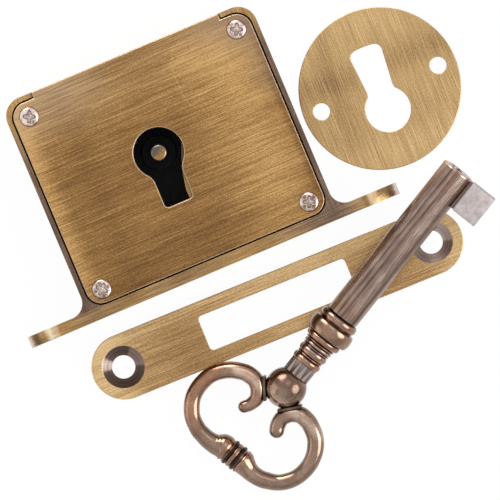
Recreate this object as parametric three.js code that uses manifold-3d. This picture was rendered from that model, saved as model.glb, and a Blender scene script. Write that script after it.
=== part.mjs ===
// Drawer lock set: a lock with a screwed cover, its strike plate, its keyhole escutcheon
// and its barrel key, laid out beside each other. Millimetres, +Z up.
// The origin is on the axis of the key pin, at the underside of the lock case.
// +X runs along the forend, +Y from the forend towards the rear of the case.

import * as THREE from 'three';
import { ConvexGeometry } from 'three/addons/geometries/ConvexGeometry.js';
import { mergeVertices } from 'three/addons/utils/BufferGeometryUtils.js';
import Module from 'manifold-3d';

const wasm = await Module();
wasm.setup();

const { degToRad } = THREE.MathUtils;

// Case and forend, one casting
const forendLength = 75;
const forendThickness = 2.25;
const backset = 24.65;
const caseWidth = 50.6;
const caseDepth = 44.35;
const caseHeight = 12.4;
const pinOffCentre = 1.3;
const wallThickness = 1.9;
const floorThickness = 1.5;
const caseCorner = 3.7;
const earFillet = 3;
const forendLedge = 0.6;

// Screw holes of the forend and of the strike plate
const plateScrewSpacing = 62.5;
const plateScrewHole = 4.4;
const plateCountersink = 8.1;

// Cover and its screws
const coverThickness = 1.5;
const coverRim = 0.9;
const coverGap = 0.28;
const coverCorner = 3;
const coverEdge = 0.18;
const tongueInset = 6.3;
const screwInsets = { side: 4.2, front: 5.17, rear: 4.08 };
const screwBossDiameter = 5.4;
const screwHeadDiameter = 3.66;
const screwHeadHeight = 0.95;
const screwSinkDepth = 0.5;
const screwShankDiameter = 1.9;
const screwShankLength = 6.5;
const screwRecessDiameter = 2.3;
const screwRecessDepth = 0.5;
const screwRecessLobes = 4;
const screwRecessWaveShare = 0.3;
const screwDomeShares = { rimHeight: 0.45, crownWidth: 0.75 };

// Keyhole in the cover
const keyholeDiameter = 9.5;
const keyholeSlotWidth = 5.6;
const keyholeDrop = 10.2;
const keyholeFillet = 3;
const keyholeCorner = 0.8;

// Key pin in the case
const keyPinDiameter = 3.2;
const keyPinTipDrop = 0.9;
const keyPinBevel = 0.35;
const keyPinBossDiameter = 6.4;
const keyPinBossHeight = 1.5;
const pinSeatDepth = 0.7;

// Bolt, with the head that shows in the forend and the tail that the key pushes
const boltThrow = 8;
const boltHeadShoulder = 2.3;
const boltHeadThickness = 5.8;
const boltHeadLength = 11;
const boltHeadEdge = 0.4;
const boltTailThickness = 2.8;
const boltTailSideRoom = 7.1;
const boltTailRear = 11;
const boltLobeReach = 1.8;
const boltLobeLength = 6;
const boltBridgeDepth = 3;
const boltReliefLeft = 3.2;
const boltSlotEdge = 2.05;
const boltShoulder = 4.75;
const boltSegments = 4;
const talonFront = 1.7;
const talonDepth = 3.3;
const talonCurveShares = [[1.46, 0.33], [0.78, 0.75]];

// Stump on the bolt that runs in the lever's gate
const stumpSize = 2.2;
const stumpY = -1.8;
const stumpRootDiameter = 1.6;
const stumpRootLength = 1.6;

// Guide studs in the case
const guideStudDiameter = 2.2;
const guideStudHeadDiameter = 4;
const guideStudHeadHeight = 0.8;
const guideStudY = -8;
const guideStudInsets = { left: 2.9, right: 4.4 };

// Lever, its post, washer and spring
const leverThickness = 1.4;
const leverPivotInset = 2.1;
const leverPivotY = 14;
const leverEyeDiameter = 6.4;
const leverWallRoom = 2.3;
const leverFront = -13;
const leverFrontInset = 3;
const leverShoulder = 4;
const leverToeDepth = 1.9;
const leverToeAngle = degToRad(-46);
const leverHeelAngle = degToRad(14);
const leverDrop = degToRad(4.5);
const leverOverlift = degToRad(2.5);
const leverPostDiameter = 2.6;
const leverPostShoulder = 4.6;
const leverWasherDiameter = 4.4;
const leverWasherThickness = 0.6;
const springThickness = 0.3;
const springHeight = 1.2;
const springAnchorY = 3;
const springAnchorDepth = 1.3;
const springReach = 12;
const springRouteShares = [[0.12, 0], [0.5, 0.06], [0.74, 0.3], [1, 0.84], [0.88, 1]];

// Strike plate
const strikeLength = 74.6;
const strikeWidth = 12.4;
const strikeThickness = 2;
const strikeSlotLength = 29.7;
const strikeSlotWidth = 6.9;
const strikeSlotCorner = 0.8;
const strikeX = 9.45;
const strikeY = -34.97;
const strikeTurn = degToRad(-0.75);

// Escutcheon
const escutcheonDiameter = 30.7;
const escutcheonThickness = 1;
const escutcheonHoleDiameter = 8.6;
const escutcheonHoleOffset = 4.2;
const escutcheonNeckWidth = 5.1;
const escutcheonNeckFlare = 0.35;
const escutcheonMouthWidth = 6.2;
const escutcheonSlotReach = 12.6;
const escutcheonCorner = 1.2;
const escutcheonScrewHole = 3.2;
const escutcheonScrewSpacing = 23.6;
const escutcheonGap = 1.08;
const escutcheonY = -4.97;
const escutcheonTurn = degToRad(-1.1);

// Plate edges
const plateEdge = 0.15;

// Key: place, collar and ball
const keyX = 4.83;
const keyY = -49.95;
const keyHeading = degToRad(28.65);
const ballDiameter = 7.9;
const collarStart = 3.1;
const collarLength = 13.85;
const bulgeDiameter = 9;
const bulgeRestShare = 0.83;
const neckDiameter = 5.5;
const neckLength = 2.9;
const fluteCount = 12;
const fluteDepth = 0.3;
const collarBeadShares = [
  [0.198, 0.281, 0.655],
  [0.332, 0.423, 0.66],
  [0.467, 0.51, 0.67],
  [0.565, 0.648, 0.805],
  [0.663, 0.866, 1],
  [0.892, 0.997, 0.865],
];
const collarGrooveShare = 0.87;

// Key: bow of two scrolls that meet in a ringed end
const bowReach = 18.7;
const bowHalfWidth = 14.3;
const bowWireDiameter = 2.75;
const bowRodSides = 12;
const bowEndDiameter = 5.2;
const bowEndLength = 2.9;
const bowEndOffset = 0.375;
const bowRingShares = { inner: 0.43, outer: 0.9 };
const bowRingNotch = 0.3;
const bowRingNotchWidth = 0.12;
const bowFlangeLength = 4.8;
const bowFlangeThickness = 0.85;
const bowFlangeHeight = 3.4;
const bowFlangeAngle = degToRad(130);
const bowScrollShares = {
  left: [
    [0.863, 0.073, 1.6],
    [0.863, 0.115, 1.81],
    [0.866, 0.16, 1.8],
    [0.88, 0.207, 1.62],
    [0.897, 0.27, 1.41],
    [0.905, 0.375, 1.27],
    [0.898, 0.475, 1.2],
    [0.886, 0.559, 1.16],
    [0.83, 0.707, 1.11],
    [0.748, 0.811, 1.11],
    [0.658, 0.877, 1.1],
    [0.565, 0.902, 1.1],
    [0.473, 0.901, 1.1],
    [0.378, 0.877, 1.12],
    [0.288, 0.813, 1.16],
    [0.206, 0.708, 1.17],
    [0.144, 0.562, 1.18],
    [0.129, 0.465, 1.2],
    [0.134, 0.374, 1.17],
    [0.18, 0.275, 1.13],
    [0.266, 0.212, 1.02],
    [0.355, 0.226, 0.9],
    [0.415, 0.27, 0.85],
  ],
  right: [
    [0.865, 0.125, 1.6],
    [0.866, 0.152, 1.81],
    [0.868, 0.184, 1.74],
    [0.878, 0.235, 1.54],
    [0.89, 0.305, 1.33],
    [0.894, 0.378, 1.24],
    [0.886, 0.475, 1.2],
    [0.864, 0.559, 1.19],
    [0.807, 0.697, 1.12],
    [0.729, 0.791, 1.13],
    [0.647, 0.849, 1.1],
    [0.561, 0.875, 1.1],
    [0.475, 0.879, 1.12],
    [0.387, 0.858, 1.13],
    [0.295, 0.805, 1.17],
    [0.206, 0.708, 1.17],
    [0.142, 0.559, 1.18],
    [0.125, 0.469, 1.2],
    [0.127, 0.373, 1.2],
    [0.18, 0.272, 1.14],
    [0.266, 0.215, 1.09],
    [0.348, 0.228, 1.07],
    [0.4, 0.262, 1.04],
  ],
};

// Key: barrel and bit
const barrelDiameter = 6.5;
const barrelLength = 35.35;
const barrelBore = 3.6;
const barrelEdge = 0.45;
const spigotDiameter = 3;
const spigotLength = 5;
const bitLength = 6.4;
const bitSetback = 0.1;
const bitRadius = 8.8;
const bitThickness = 3.2;
const bitNeckThickness = 2.2;
const bitNeckReach = 0.5;
const bitRootDepth = 0.4;

// Clearances
const boreClearance = 0.05;
const studClearance = 0.2;
const slideClearance = 0.1;
const mouthClearance = 0.3;
const gateClearance = 0.2;
const sweepClearance = 0.1;
const headClearance = 0.15;
const leverClearance = 0.3;
const jointGap = 0.3;

// Values that serve every cut and every round form
const overrun = 1;
const mergeTolerance = 1e-4;
const roundSegments = 40;
const smallSegments = 16;
const cornerSegments = 8;

// Places that follow from the sizes above
const frontY = -backset;
const rearY = frontY + caseDepth;
const centreX = pinOffCentre;
const wallLeft = centreX - caseWidth / 2;
const wallRight = centreX + caseWidth / 2;
const innerLeft = wallLeft + wallThickness;
const innerRight = wallRight - wallThickness;
const earBackY = frontY + forendThickness;
const coverSeat = caseHeight - coverThickness;
const coverInset = coverRim + coverGap;
const boltBottom = (caseHeight - boltHeadThickness) / 2;
const boltTailTop = boltBottom + boltTailThickness;
const guideHeadBottom = boltTailTop + slideClearance;
const leverBottom = guideHeadBottom + guideStudHeadHeight + leverClearance;
const leverTop = leverBottom + leverThickness;
const pinSeat = floorThickness - pinSeatDepth;
const keySweep = bitRadius + sweepClearance;
const tailLeft = innerLeft + boltTailSideRoom;
const tailRight = innerRight - boltTailSideRoom;
const boltHeadWidth = tailRight - tailLeft - 2 * boltHeadShoulder;
const stumpX = tailRight;
const guideStudPlacesX = {
  left: tailLeft + guideStudInsets.left,
  right: tailRight - guideStudInsets.right,
};
const leverPivot = new THREE.Vector2(tailRight - leverPivotInset, leverPivotY);
const leverRight = innerRight - leverWallRoom;
const escutcheonX = wallRight + escutcheonGap + escutcheonDiameter / 2;
const [bulgeFrom, bulgeTo] = collarBeadShares.find(([, , height]) => height === 1);
const bulgeCentre = collarStart + collarLength * (bulgeFrom + bulgeTo) / 2;
const barrelStart = collarStart + collarLength + jointGap;

// Finishes
const agedBrass = { color: 0xa37d48, roughness: 0.42, metalness: 0.9 };
const darkBrass = { color: 0x846547, roughness: 0.5, metalness: 0.85 };
const plainBrass = { color: 0xb99a5b, roughness: 0.35, metalness: 0.95 };
const steel = { color: 0x8b8b8d, roughness: 0.35, metalness: 0.95 };
const nickel = { color: 0xc9bdb3, roughness: 0.25, metalness: 1 };
const agedCopper = { color: 0x8d6a55, roughness: 0.28, metalness: 0.95 };
const brushedCopper = { color: 0x867067, roughness: 0.4, metalness: 0.9 };

// Turns a closed geometry into a solid that can be joined and cut.
function solidOf(geometry) {
  const bare = geometry.clone();
  bare.deleteAttribute('normal');
  bare.deleteAttribute('uv');
  const merged = mergeVertices(bare, mergeTolerance);
  return new wasm.Manifold(new wasm.Mesh({
    numProp: 3,
    vertProperties: new Float32Array(merged.attributes.position.array),
    triVerts: Uint32Array.from(merged.index.array),
  }));
}

// Turns a solid into a named mesh with flat faces.
function meshOf(name, solid, finish) {
  const { vertProperties, triVerts } = solid.getMesh();
  const indexed = new THREE.BufferGeometry();
  indexed.setAttribute('position', new THREE.BufferAttribute(vertProperties, 3));
  indexed.setIndex(new THREE.BufferAttribute(triVerts, 1));
  const geometry = indexed.toNonIndexed();
  geometry.computeVertexNormals();
  const mesh = new THREE.Mesh(geometry, new THREE.MeshStandardMaterial(finish));
  mesh.name = name;
  return mesh;
}

// An outline drawn in plan and given a height.
function prism(shape, bottom, top, curveSegments = cornerSegments) {
  const settings = { depth: top - bottom, bevelEnabled: false, curveSegments };
  const geometry = new THREE.ExtrudeGeometry(shape, settings);
  geometry.translate(0, 0, bottom);
  return solidOf(geometry);
}

// A plate whose edges, those of its holes included, are broken by a small bevel.
function bevelledPlate(shape, thickness, edge, curveSegments = cornerSegments) {
  const geometry = new THREE.ExtrudeGeometry(shape, {
    depth: thickness - 2 * edge,
    bevelEnabled: true,
    bevelSize: edge,
    bevelThickness: edge,
    bevelOffset: -edge,
    bevelSegments: 1,
    curveSegments,
  });
  geometry.translate(0, 0, edge);
  return solidOf(geometry);
}

// A profile of [radius, height] pairs turned about the Z axis.
function turned(profile, segments = smallSegments) {
  const points = profile.map(([radius, height]) => new THREE.Vector2(radius, height));
  const geometry = new THREE.LatheGeometry(points, segments);
  geometry.rotateX(Math.PI / 2);
  return solidOf(geometry);
}

function cone(bottomRadius, topRadius, bottom, top, segments = smallSegments) {
  const geometry = new THREE.CylinderGeometry(topRadius, bottomRadius, top - bottom, segments);
  geometry.rotateX(Math.PI / 2);
  geometry.translate(0, 0, (bottom + top) / 2);
  return solidOf(geometry);
}

function cylinder(radius, bottom, top, segments = smallSegments) {
  return cone(radius, radius, bottom, top, segments);
}

function ball(radius) {
  return solidOf(new THREE.SphereGeometry(radius, smallSegments, smallSegments / 2));
}

function box([minX, maxX], [minY, maxY], [minZ, maxZ]) {
  const geometry = new THREE.BoxGeometry(maxX - minX, maxY - minY, maxZ - minZ);
  geometry.translate((minX + maxX) / 2, (minY + maxY) / 2, (minZ + maxZ) / 2);
  return solidOf(geometry);
}

function around(middle, half) {
  return [middle - half, middle + half];
}

function at(solid, x, y, z = 0) {
  return solid.translate([x, y, z]);
}

function union(solids) {
  return solids.reduce((whole, next) => whole.add(next));
}

// Lays a solid that was drawn along Z so that it runs along +X, or along -Y.
function alongX(solid) {
  return solid.rotate([0, 90, 0]);
}

function alongMinusY(solid) {
  return solid.rotate([90, 0, 0]);
}

function polar(radius, angle) {
  return new THREE.Vector2(radius * Math.cos(angle), radius * Math.sin(angle));
}

function roundedRectangle([minX, maxX], [minY, maxY], radius) {
  const shape = new THREE.Shape();
  shape.absarc(maxX - radius, minY + radius, radius, -Math.PI / 2, 0);
  shape.absarc(maxX - radius, maxY - radius, radius, 0, Math.PI / 2);
  shape.absarc(minX + radius, maxY - radius, radius, Math.PI / 2, Math.PI);
  shape.absarc(minX + radius, minY + radius, radius, Math.PI, Math.PI * 1.5);
  return shape;
}

function stadium(length, width) {
  return roundedRectangle(around(0, length / 2), around(0, width / 2), width / 2);
}

// Countersunk screw hole whose wide side is at the top of the plate.
function plateScrewCutter(thickness) {
  const hole = plateScrewHole / 2;
  const mouth = plateCountersink / 2;
  const coneBottom = thickness - (mouth - hole);
  const bore = cylinder(hole, -overrun, thickness + overrun, roundSegments);
  const sink = cone(hole, mouth + overrun, coneBottom, thickness + overrun, roundSegments);
  return bore.add(sink);
}

// Places of the four cover screws.
const screwPlaces = [-1, 1].flatMap((side) => {
  const x = centreX + side * (caseWidth / 2 - screwInsets.side);
  return [[x, frontY + screwInsets.front], [x, rearY - screwInsets.rear]];
});

// Plan of the cover: a rounded rectangle with a tongue that laps over the rear wall.
function coverOutline(growth, tongueEnd) {
  const left = wallLeft + coverInset - growth;
  const right = wallRight - coverInset + growth;
  const front = earBackY + coverGap - growth;
  const rear = rearY - coverInset + growth;
  const tongue = caseWidth / 2 - tongueInset + growth;
  const radius = coverCorner + growth;
  const shape = new THREE.Shape();
  shape.absarc(right - radius, front + radius, radius, -Math.PI / 2, 0);
  shape.absarc(right - radius, rear - radius, radius, 0, Math.PI / 2);
  shape.lineTo(centreX + tongue, rear);
  shape.lineTo(centreX + tongue, tongueEnd);
  shape.lineTo(centreX - tongue, tongueEnd);
  shape.lineTo(centreX - tongue, rear);
  shape.absarc(left + radius, rear - radius, radius, Math.PI / 2, Math.PI);
  shape.absarc(left + radius, front + radius, radius, Math.PI, Math.PI * 1.5);
  return shape;
}

// Plan of the casting: the forend, whose ears flow into the walls by fillets.
function caseOutline() {
  const earLeft = centreX - forendLength / 2;
  const earRight = centreX + forendLength / 2;
  const filletY = earBackY + earFillet;
  const shape = new THREE.Shape();
  shape.moveTo(earLeft, frontY);
  shape.lineTo(earRight, frontY);
  shape.lineTo(earRight, earBackY);
  shape.absarc(wallRight + earFillet, filletY, earFillet, -Math.PI / 2, -Math.PI, true);
  shape.absarc(wallRight - caseCorner, rearY - caseCorner, caseCorner, 0, Math.PI / 2);
  shape.absarc(wallLeft + caseCorner, rearY - caseCorner, caseCorner, Math.PI / 2, Math.PI);
  shape.absarc(wallLeft - earFillet, filletY, earFillet, 0, -Math.PI / 2, true);
  shape.lineTo(earLeft, earBackY);
  return shape;
}

// The room for the works, the cover's seat and the bolt's mouth in the forend.
function caseHollows() {
  const pocketPlan = roundedRectangle(
    [innerLeft, innerRight],
    [earBackY + forendLedge, rearY - wallThickness],
    caseCorner - wallThickness,
  );
  const bosses = union(screwPlaces.map(([x, y]) =>
    at(cylinder(screwBossDiameter / 2, 0, caseHeight), x, y)));
  const pocket = prism(pocketPlan, floorThickness, caseHeight).subtract(bosses);
  const seat = prism(coverOutline(coverGap, rearY + overrun), coverSeat, caseHeight + overrun);
  const mouth = box(
    around(centreX, boltHeadWidth / 2 + mouthClearance),
    [frontY - overrun, earBackY + forendLedge + overrun],
    around(caseHeight / 2, boltHeadThickness / 2 + mouthClearance),
  );
  return union([pocket, seat, mouth]);
}

// Blind bores in the floor and the bosses, and the countersunk holes in the ears.
function caseBores() {
  const top = floorThickness + keyPinBossHeight + overrun;
  const pinBore = cylinder(keyPinDiameter / 2 + boreClearance, pinSeat, top);
  const postBore = cylinder(leverPostDiameter / 2 + boreClearance, pinSeat, top);
  const studBores = Object.values(guideStudPlacesX).map((x) =>
    at(cylinder(guideStudDiameter / 2 + boreClearance, pinSeat, top), x, guideStudY));
  const screwBores = screwPlaces.map(([x, y]) => at(cylinder(
    screwShankDiameter / 2 + boreClearance,
    coverSeat - screwShankLength,
    caseHeight,
  ), x, y));
  const earHoles = [-1, 1].map((side) => at(
    alongMinusY(plateScrewCutter(forendThickness)),
    centreX + side * plateScrewSpacing / 2,
    earBackY,
    caseHeight / 2,
  ));
  return union([
    pinBore,
    at(postBore, leverPivot.x, leverPivot.y),
    ...studBores,
    ...screwBores,
    ...earHoles,
  ]);
}

function lockCase() {
  const block = prism(caseOutline(), 0, caseHeight);
  const face = prism(stadium(forendLength, caseHeight), -overrun, caseDepth + overrun);
  const roundEnded = block.intersect(at(alongMinusY(face), centreX, rearY, caseHeight / 2));
  const pinBoss = cylinder(
    keyPinBossDiameter / 2,
    floorThickness / 2,
    floorThickness + keyPinBossHeight,
    roundSegments,
  );
  const solid = roundEnded.subtract(caseHollows()).add(pinBoss).subtract(caseBores());
  return meshOf('lock_case', solid, darkBrass);
}

// A round hole for the key's barrel, with a filleted slot for the bit below it.
function keyholePath() {
  const radius = keyholeDiameter / 2;
  const half = keyholeSlotWidth / 2;
  const filletX = half + keyholeFillet;
  const filletY = -Math.sqrt((radius + keyholeFillet) ** 2 - filletX ** 2);
  const meet = Math.atan2(filletY, filletX);
  const cornerX = half - keyholeCorner;
  const cornerY = keyholeCorner - keyholeDrop;
  const path = new THREE.Path();
  path.absarc(0, 0, radius, meet, Math.PI - meet);
  path.absarc(-filletX, filletY, keyholeFillet, -meet, 0, true);
  path.absarc(-cornerX, cornerY, keyholeCorner, Math.PI, Math.PI * 1.5);
  path.absarc(cornerX, cornerY, keyholeCorner, -Math.PI / 2, 0);
  path.absarc(filletX, filletY, keyholeFillet, Math.PI, Math.PI + meet, true);
  return path;
}

function coverPlate() {
  const outline = coverOutline(0, rearY);
  outline.holes.push(keyholePath());
  const plate = bevelledPlate(outline, coverThickness, coverEdge);
  const holes = screwPlaces.map(([x, y]) => at(union([
    cylinder(screwShankDiameter / 2 + studClearance, -overrun, coverThickness + overrun),
    cylinder(
      screwHeadDiameter / 2 + headClearance,
      coverThickness - screwSinkDepth,
      coverThickness + overrun,
    ),
  ]), x, y));
  const mesh = meshOf('cover_plate', plate.subtract(union(holes)), agedBrass);
  mesh.position.z = coverSeat;
  return mesh;
}

// Cross-shaped driver recess, drawn as one waving circle.
function recessOutline() {
  const count = screwRecessLobes * cornerSegments;
  const meanRadius = screwRecessDiameter / 2 / (1 + screwRecessWaveShare);
  return new THREE.Shape(Array.from({ length: count }, (_, index) => {
    const angle = (index / count) * Math.PI * 2;
    const wave = Math.cos(screwRecessLobes * angle);
    return polar(meanRadius * (1 + screwRecessWaveShare * wave), angle);
  }));
}

// Low domed head on a plain shank, drawn from the underside of the head.
function coverScrew([x, y], index) {
  const head = screwHeadDiameter / 2;
  const shank = screwShankDiameter / 2;
  const blank = turned([
    [0, -screwShankLength],
    [shank, -screwShankLength],
    [shank, 0],
    [head, 0],
    [head, screwHeadHeight * screwDomeShares.rimHeight],
    [head * screwDomeShares.crownWidth, screwHeadHeight],
    [0, screwHeadHeight],
  ]);
  const recessBottom = screwHeadHeight - screwRecessDepth;
  const recess = prism(recessOutline(), recessBottom, screwHeadHeight + overrun);
  const mesh = meshOf(`cover_screw_${index + 1}`, blank.subtract(recess), nickel);
  mesh.position.set(x, y, caseHeight - screwSinkDepth);
  return mesh;
}

// The pin on which the key's barrel turns.
function keyPin() {
  const radius = keyPinDiameter / 2;
  const length = caseHeight - keyPinTipDrop - pinSeat;
  const solid = turned([
    [0, 0],
    [radius, 0],
    [radius, length - keyPinBevel],
    [radius - keyPinBevel, length],
    [0, length],
  ]);
  const mesh = meshOf('key_pin', solid, plainBrass);
  mesh.position.z = pinSeat;
  return mesh;
}

// Stud in a guide slot: its shoulder carries the bolt and its head holds the bolt down.
function guideStud(side) {
  const shank = guideStudDiameter / 2;
  const flange = guideStudHeadDiameter / 2;
  const heights = {
    floor: floorThickness - pinSeat,
    shoulder: boltBottom - slideClearance - pinSeat,
    head: guideHeadBottom - pinSeat,
    top: guideHeadBottom + guideStudHeadHeight - pinSeat,
  };
  const solid = turned([
    [0, 0],
    [shank, 0],
    [shank, heights.floor],
    [flange, heights.floor],
    [flange, heights.shoulder],
    [shank, heights.shoulder],
    [shank, heights.head],
    [flange, heights.head],
    [flange, heights.top],
    [0, heights.top],
  ]);
  const mesh = meshOf(`guide_stud_${side}`, solid, steel);
  mesh.position.set(guideStudPlacesX[side], guideStudY, pinSeat);
  return mesh;
}

// Plan of the bolt's tail. On its right the talon takes the bit. The edge between talon and
// slot keeps clear of the bit once the bolt is shot, a throw further forward, and the left
// side keeps clear of it while the bolt is drawn back.
function tailOutline() {
  const front = frontY + boltHeadLength;
  const bridgeRear = front + boltBridgeDepth;
  const lobeRight = tailRight + boltLobeReach;
  const [lobeFront, lobeRear] = around(stumpY, boltLobeLength / 2);
  const [rootLeft, rootRight] = around(centreX, boltHeadWidth / 2 - boltHeadEdge);
  const talonRear = boltThrow - talonFront;
  const talonTip = Math.sqrt(keySweep ** 2 - talonRear ** 2);
  const shoulderY = boltThrow - Math.sqrt(keySweep ** 2 - boltShoulder ** 2);
  const reliefY = -Math.sqrt(keySweep ** 2 - boltReliefLeft ** 2);
  const [nearTalon, nearSlot] = talonCurveShares.map(([across, along]) =>
    [boltSlotEdge * across, bridgeRear * along]);
  const faceAngle = Math.atan2(-talonRear, talonTip);
  const shoulderAngle = Math.atan2(shoulderY - boltThrow, boltShoulder);
  const reliefAngle = Math.atan2(reliefY, -boltReliefLeft);
  const shape = new THREE.Shape();
  shape.moveTo(tailLeft, front);
  shape.lineTo(rootLeft, front);
  shape.lineTo(rootLeft, front - overrun);
  shape.lineTo(rootRight, front - overrun);
  shape.lineTo(rootRight, front);
  shape.lineTo(tailRight, front);
  shape.lineTo(tailRight, lobeFront - boltLobeReach);
  shape.lineTo(lobeRight, lobeFront);
  shape.lineTo(lobeRight, lobeRear);
  shape.lineTo(tailRight, lobeRear + boltLobeReach);
  shape.lineTo(tailRight, boltTailRear);
  shape.lineTo(talonTip, boltTailRear);
  shape.lineTo(talonTip, talonRear);
  shape.lineTo(talonTip + talonDepth, talonRear);
  shape.lineTo(talonTip + talonDepth, talonFront);
  shape.absarc(0, boltThrow, keySweep, faceAngle, shoulderAngle, true);
  shape.bezierCurveTo(...nearTalon, ...nearSlot, boltSlotEdge, bridgeRear);
  shape.lineTo(-boltReliefLeft, bridgeRear);
  shape.absarc(0, 0, keySweep, reliefAngle, -Math.PI, true);
  shape.lineTo(-keySweep, boltTailRear);
  shape.lineTo(tailLeft, boltTailRear);
  return shape;
}

// The bolt drawn back, its head flush with the forend. Its curves have few facets.
function bolt() {
  const headOutline = roundedRectangle(
    around(centreX, boltHeadWidth / 2),
    [0, boltHeadThickness],
    boltHeadEdge,
  );
  const head = prism(headOutline, 0, boltHeadLength, boltSegments);
  const slotHalf = guideStudDiameter / 2 + studClearance;
  const slots = Object.values(guideStudPlacesX).map((x) => prism(roundedRectangle(
    around(x, slotHalf),
    [guideStudY - slotHalf, guideStudY + boltThrow + slotHalf],
    slotHalf,
  ), -overrun, boltTailThickness + overrun, boltSegments));
  const stumpBore = cylinder(
    stumpRootDiameter / 2 + boreClearance,
    boltTailThickness - stumpRootLength,
    boltTailThickness + overrun,
  );
  const solid = prism(tailOutline(), 0, boltTailThickness, boltSegments)
    .add(at(alongMinusY(head), 0, frontY + boltHeadLength))
    .subtract(union([...slots, at(stumpBore, stumpX, stumpY)]));
  const mesh = meshOf('bolt', solid, plainBrass);
  mesh.position.z = boltBottom;
  return mesh;
}

function gateStump() {
  const height = leverTop + leverClearance - boltTailTop;
  const head = box(around(0, stumpSize / 2), around(0, stumpSize / 2), [0, height]);
  const root = cylinder(stumpRootDiameter / 2, -stumpRootLength, height / 2);
  const mesh = meshOf('gate_stump', head.add(root), steel);
  mesh.position.set(stumpX, stumpY, boltTailTop);
  return mesh;
}

// The room that the stump takes in the lever at one station of the bolt, from the lever at
// gate height to the lever swung by an angle.
function gatePocket(stationY, swing) {
  const half = stumpSize / 2 + gateClearance;
  const corners = [-half, half].flatMap((dx) => [-half, half].map((dy) =>
    new THREE.Vector2(stumpX + dx, stationY + dy)));
  const swung = corners.map((corner) => corner.clone().rotateAround(leverPivot, swing));
  const points = [...corners, ...swung].flatMap(({ x, y }) => [
    new THREE.Vector3(x, y, -overrun),
    new THREE.Vector3(x, y, leverThickness + overrun),
  ]);
  return solidOf(new ConvexGeometry(points));
}

// The gate: a channel as long as the bolt's throw, with a pocket at each end for the lever
// let down and one for the lever raised too far.
function gateCutter() {
  const half = stumpSize / 2 + gateClearance;
  const stations = [stumpY, stumpY - boltThrow];
  const channel = box(
    around(stumpX, half),
    [stumpY - boltThrow - half, stumpY + half],
    [-overrun, leverThickness + overrun],
  );
  const pockets = stations.flatMap((stationY) =>
    [leverDrop, -leverOverlift].map((swing) => gatePocket(stationY, swing)));
  return union([channel, ...pockets]);
}

// Lever at gate height: its belly lies on the bit's circle and its gate over the stump.
function lever() {
  const eye = leverEyeDiameter / 2;
  const outline = new THREE.Shape([
    polar(keySweep - overrun, leverToeAngle),
    polar(keySweep + leverToeDepth, leverToeAngle),
    new THREE.Vector2(tailRight - leverFrontInset, leverFront),
    new THREE.Vector2(leverRight - leverToeDepth, leverFront),
    new THREE.Vector2(leverRight, leverFront + leverToeDepth),
    new THREE.Vector2(leverRight, leverShoulder),
    new THREE.Vector2(leverPivot.x + eye, leverPivot.y),
    new THREE.Vector2(leverPivot.x - eye, leverPivot.y),
    polar(keySweep + leverClearance, leverHeelAngle),
    polar(keySweep - overrun, leverHeelAngle),
  ]);
  const throughAll = [-overrun, leverThickness + overrun];
  const springSlot = box(
    [leverRight - springAnchorDepth, leverRight + overrun],
    around(springAnchorY, springThickness / 2 + slideClearance),
    throughAll,
  );
  const pivotHole = cylinder(leverPostDiameter / 2 + slideClearance, ...throughAll);
  const solid = prism(outline, 0, leverThickness)
    .add(at(cylinder(eye, 0, leverThickness), leverPivot.x, leverPivot.y))
    .subtract(union([
      cylinder(keySweep, ...throughAll, roundSegments),
      at(pivotHole, leverPivot.x, leverPivot.y),
      springSlot,
      gateCutter(),
    ]));
  const mesh = meshOf('lever', solid, steel);
  mesh.position.z = leverBottom;
  return mesh;
}

// Post with a shoulder under the lever; its thin end reaches through lever and washer.
function leverPost() {
  const shank = leverPostDiameter / 2;
  const shoulder = leverPostShoulder / 2;
  const shoulderBottom = floorThickness - pinSeat;
  const shoulderTop = leverBottom - slideClearance - pinSeat;
  const top = leverTop + slideClearance + leverWasherThickness - pinSeat;
  const solid = turned([
    [0, 0],
    [shank, 0],
    [shank, shoulderBottom],
    [shoulder, shoulderBottom],
    [shoulder, shoulderTop],
    [shank, shoulderTop],
    [shank, top],
    [0, top],
  ]);
  const mesh = meshOf('lever_post', solid, steel);
  mesh.position.set(leverPivot.x, leverPivot.y, pinSeat);
  return mesh;
}

function leverWasher() {
  const inner = leverPostDiameter / 2 + boreClearance;
  const outer = leverWasherDiameter / 2;
  const solid = cylinder(outer, 0, leverWasherThickness)
    .subtract(cylinder(inner, -overrun, leverWasherThickness + overrun));
  const mesh = meshOf('lever_washer', solid, steel);
  mesh.position.set(leverPivot.x, leverPivot.y, leverTop + slideClearance);
  return mesh;
}

// Bent strip on edge: its foot sits in the lever's slot, its free end bears on the wall.
function leverSpring() {
  const half = springThickness / 2;
  const room = innerRight - half - slideClearance - leverRight;
  const foot = new THREE.Vector2(leverRight - springAnchorDepth + slideClearance, springAnchorY);
  const route = new THREE.SplineCurve([foot, ...springRouteShares.map(([out, down]) =>
    new THREE.Vector2(leverRight + room * out, springAnchorY - springReach * down))]);
  const steps = smallSegments;
  const sideOf = (side) => Array.from({ length: steps + 1 }, (_, index) => {
    const share = index / steps;
    const across = route.getTangentAt(share).rotateAround(new THREE.Vector2(), Math.PI / 2);
    return route.getPointAt(share).addScaledVector(across, side * half);
  });
  const strip = new THREE.Shape([...sideOf(-1), ...sideOf(1).reverse()]);
  const mesh = meshOf('lever_spring', prism(strip, 0, springHeight), steel);
  mesh.position.z = leverBottom + (leverThickness - springHeight) / 2;
  return mesh;
}

function strikePlate() {
  const outline = stadium(strikeLength, strikeWidth);
  outline.holes.push(roundedRectangle(
    around(0, strikeSlotLength / 2),
    around(0, strikeSlotWidth / 2),
    strikeSlotCorner,
  ));
  const holes = [-1, 1].map((side) =>
    at(plateScrewCutter(strikeThickness), side * plateScrewSpacing / 2, 0));
  const plate = bevelledPlate(outline, strikeThickness, plateEdge, cornerSegments);
  const mesh = meshOf('strike_plate', plate.subtract(union(holes)), agedBrass);
  mesh.position.set(strikeX, strikeY, 0);
  mesh.rotation.z = strikeTurn;
  return mesh;
}

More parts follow.
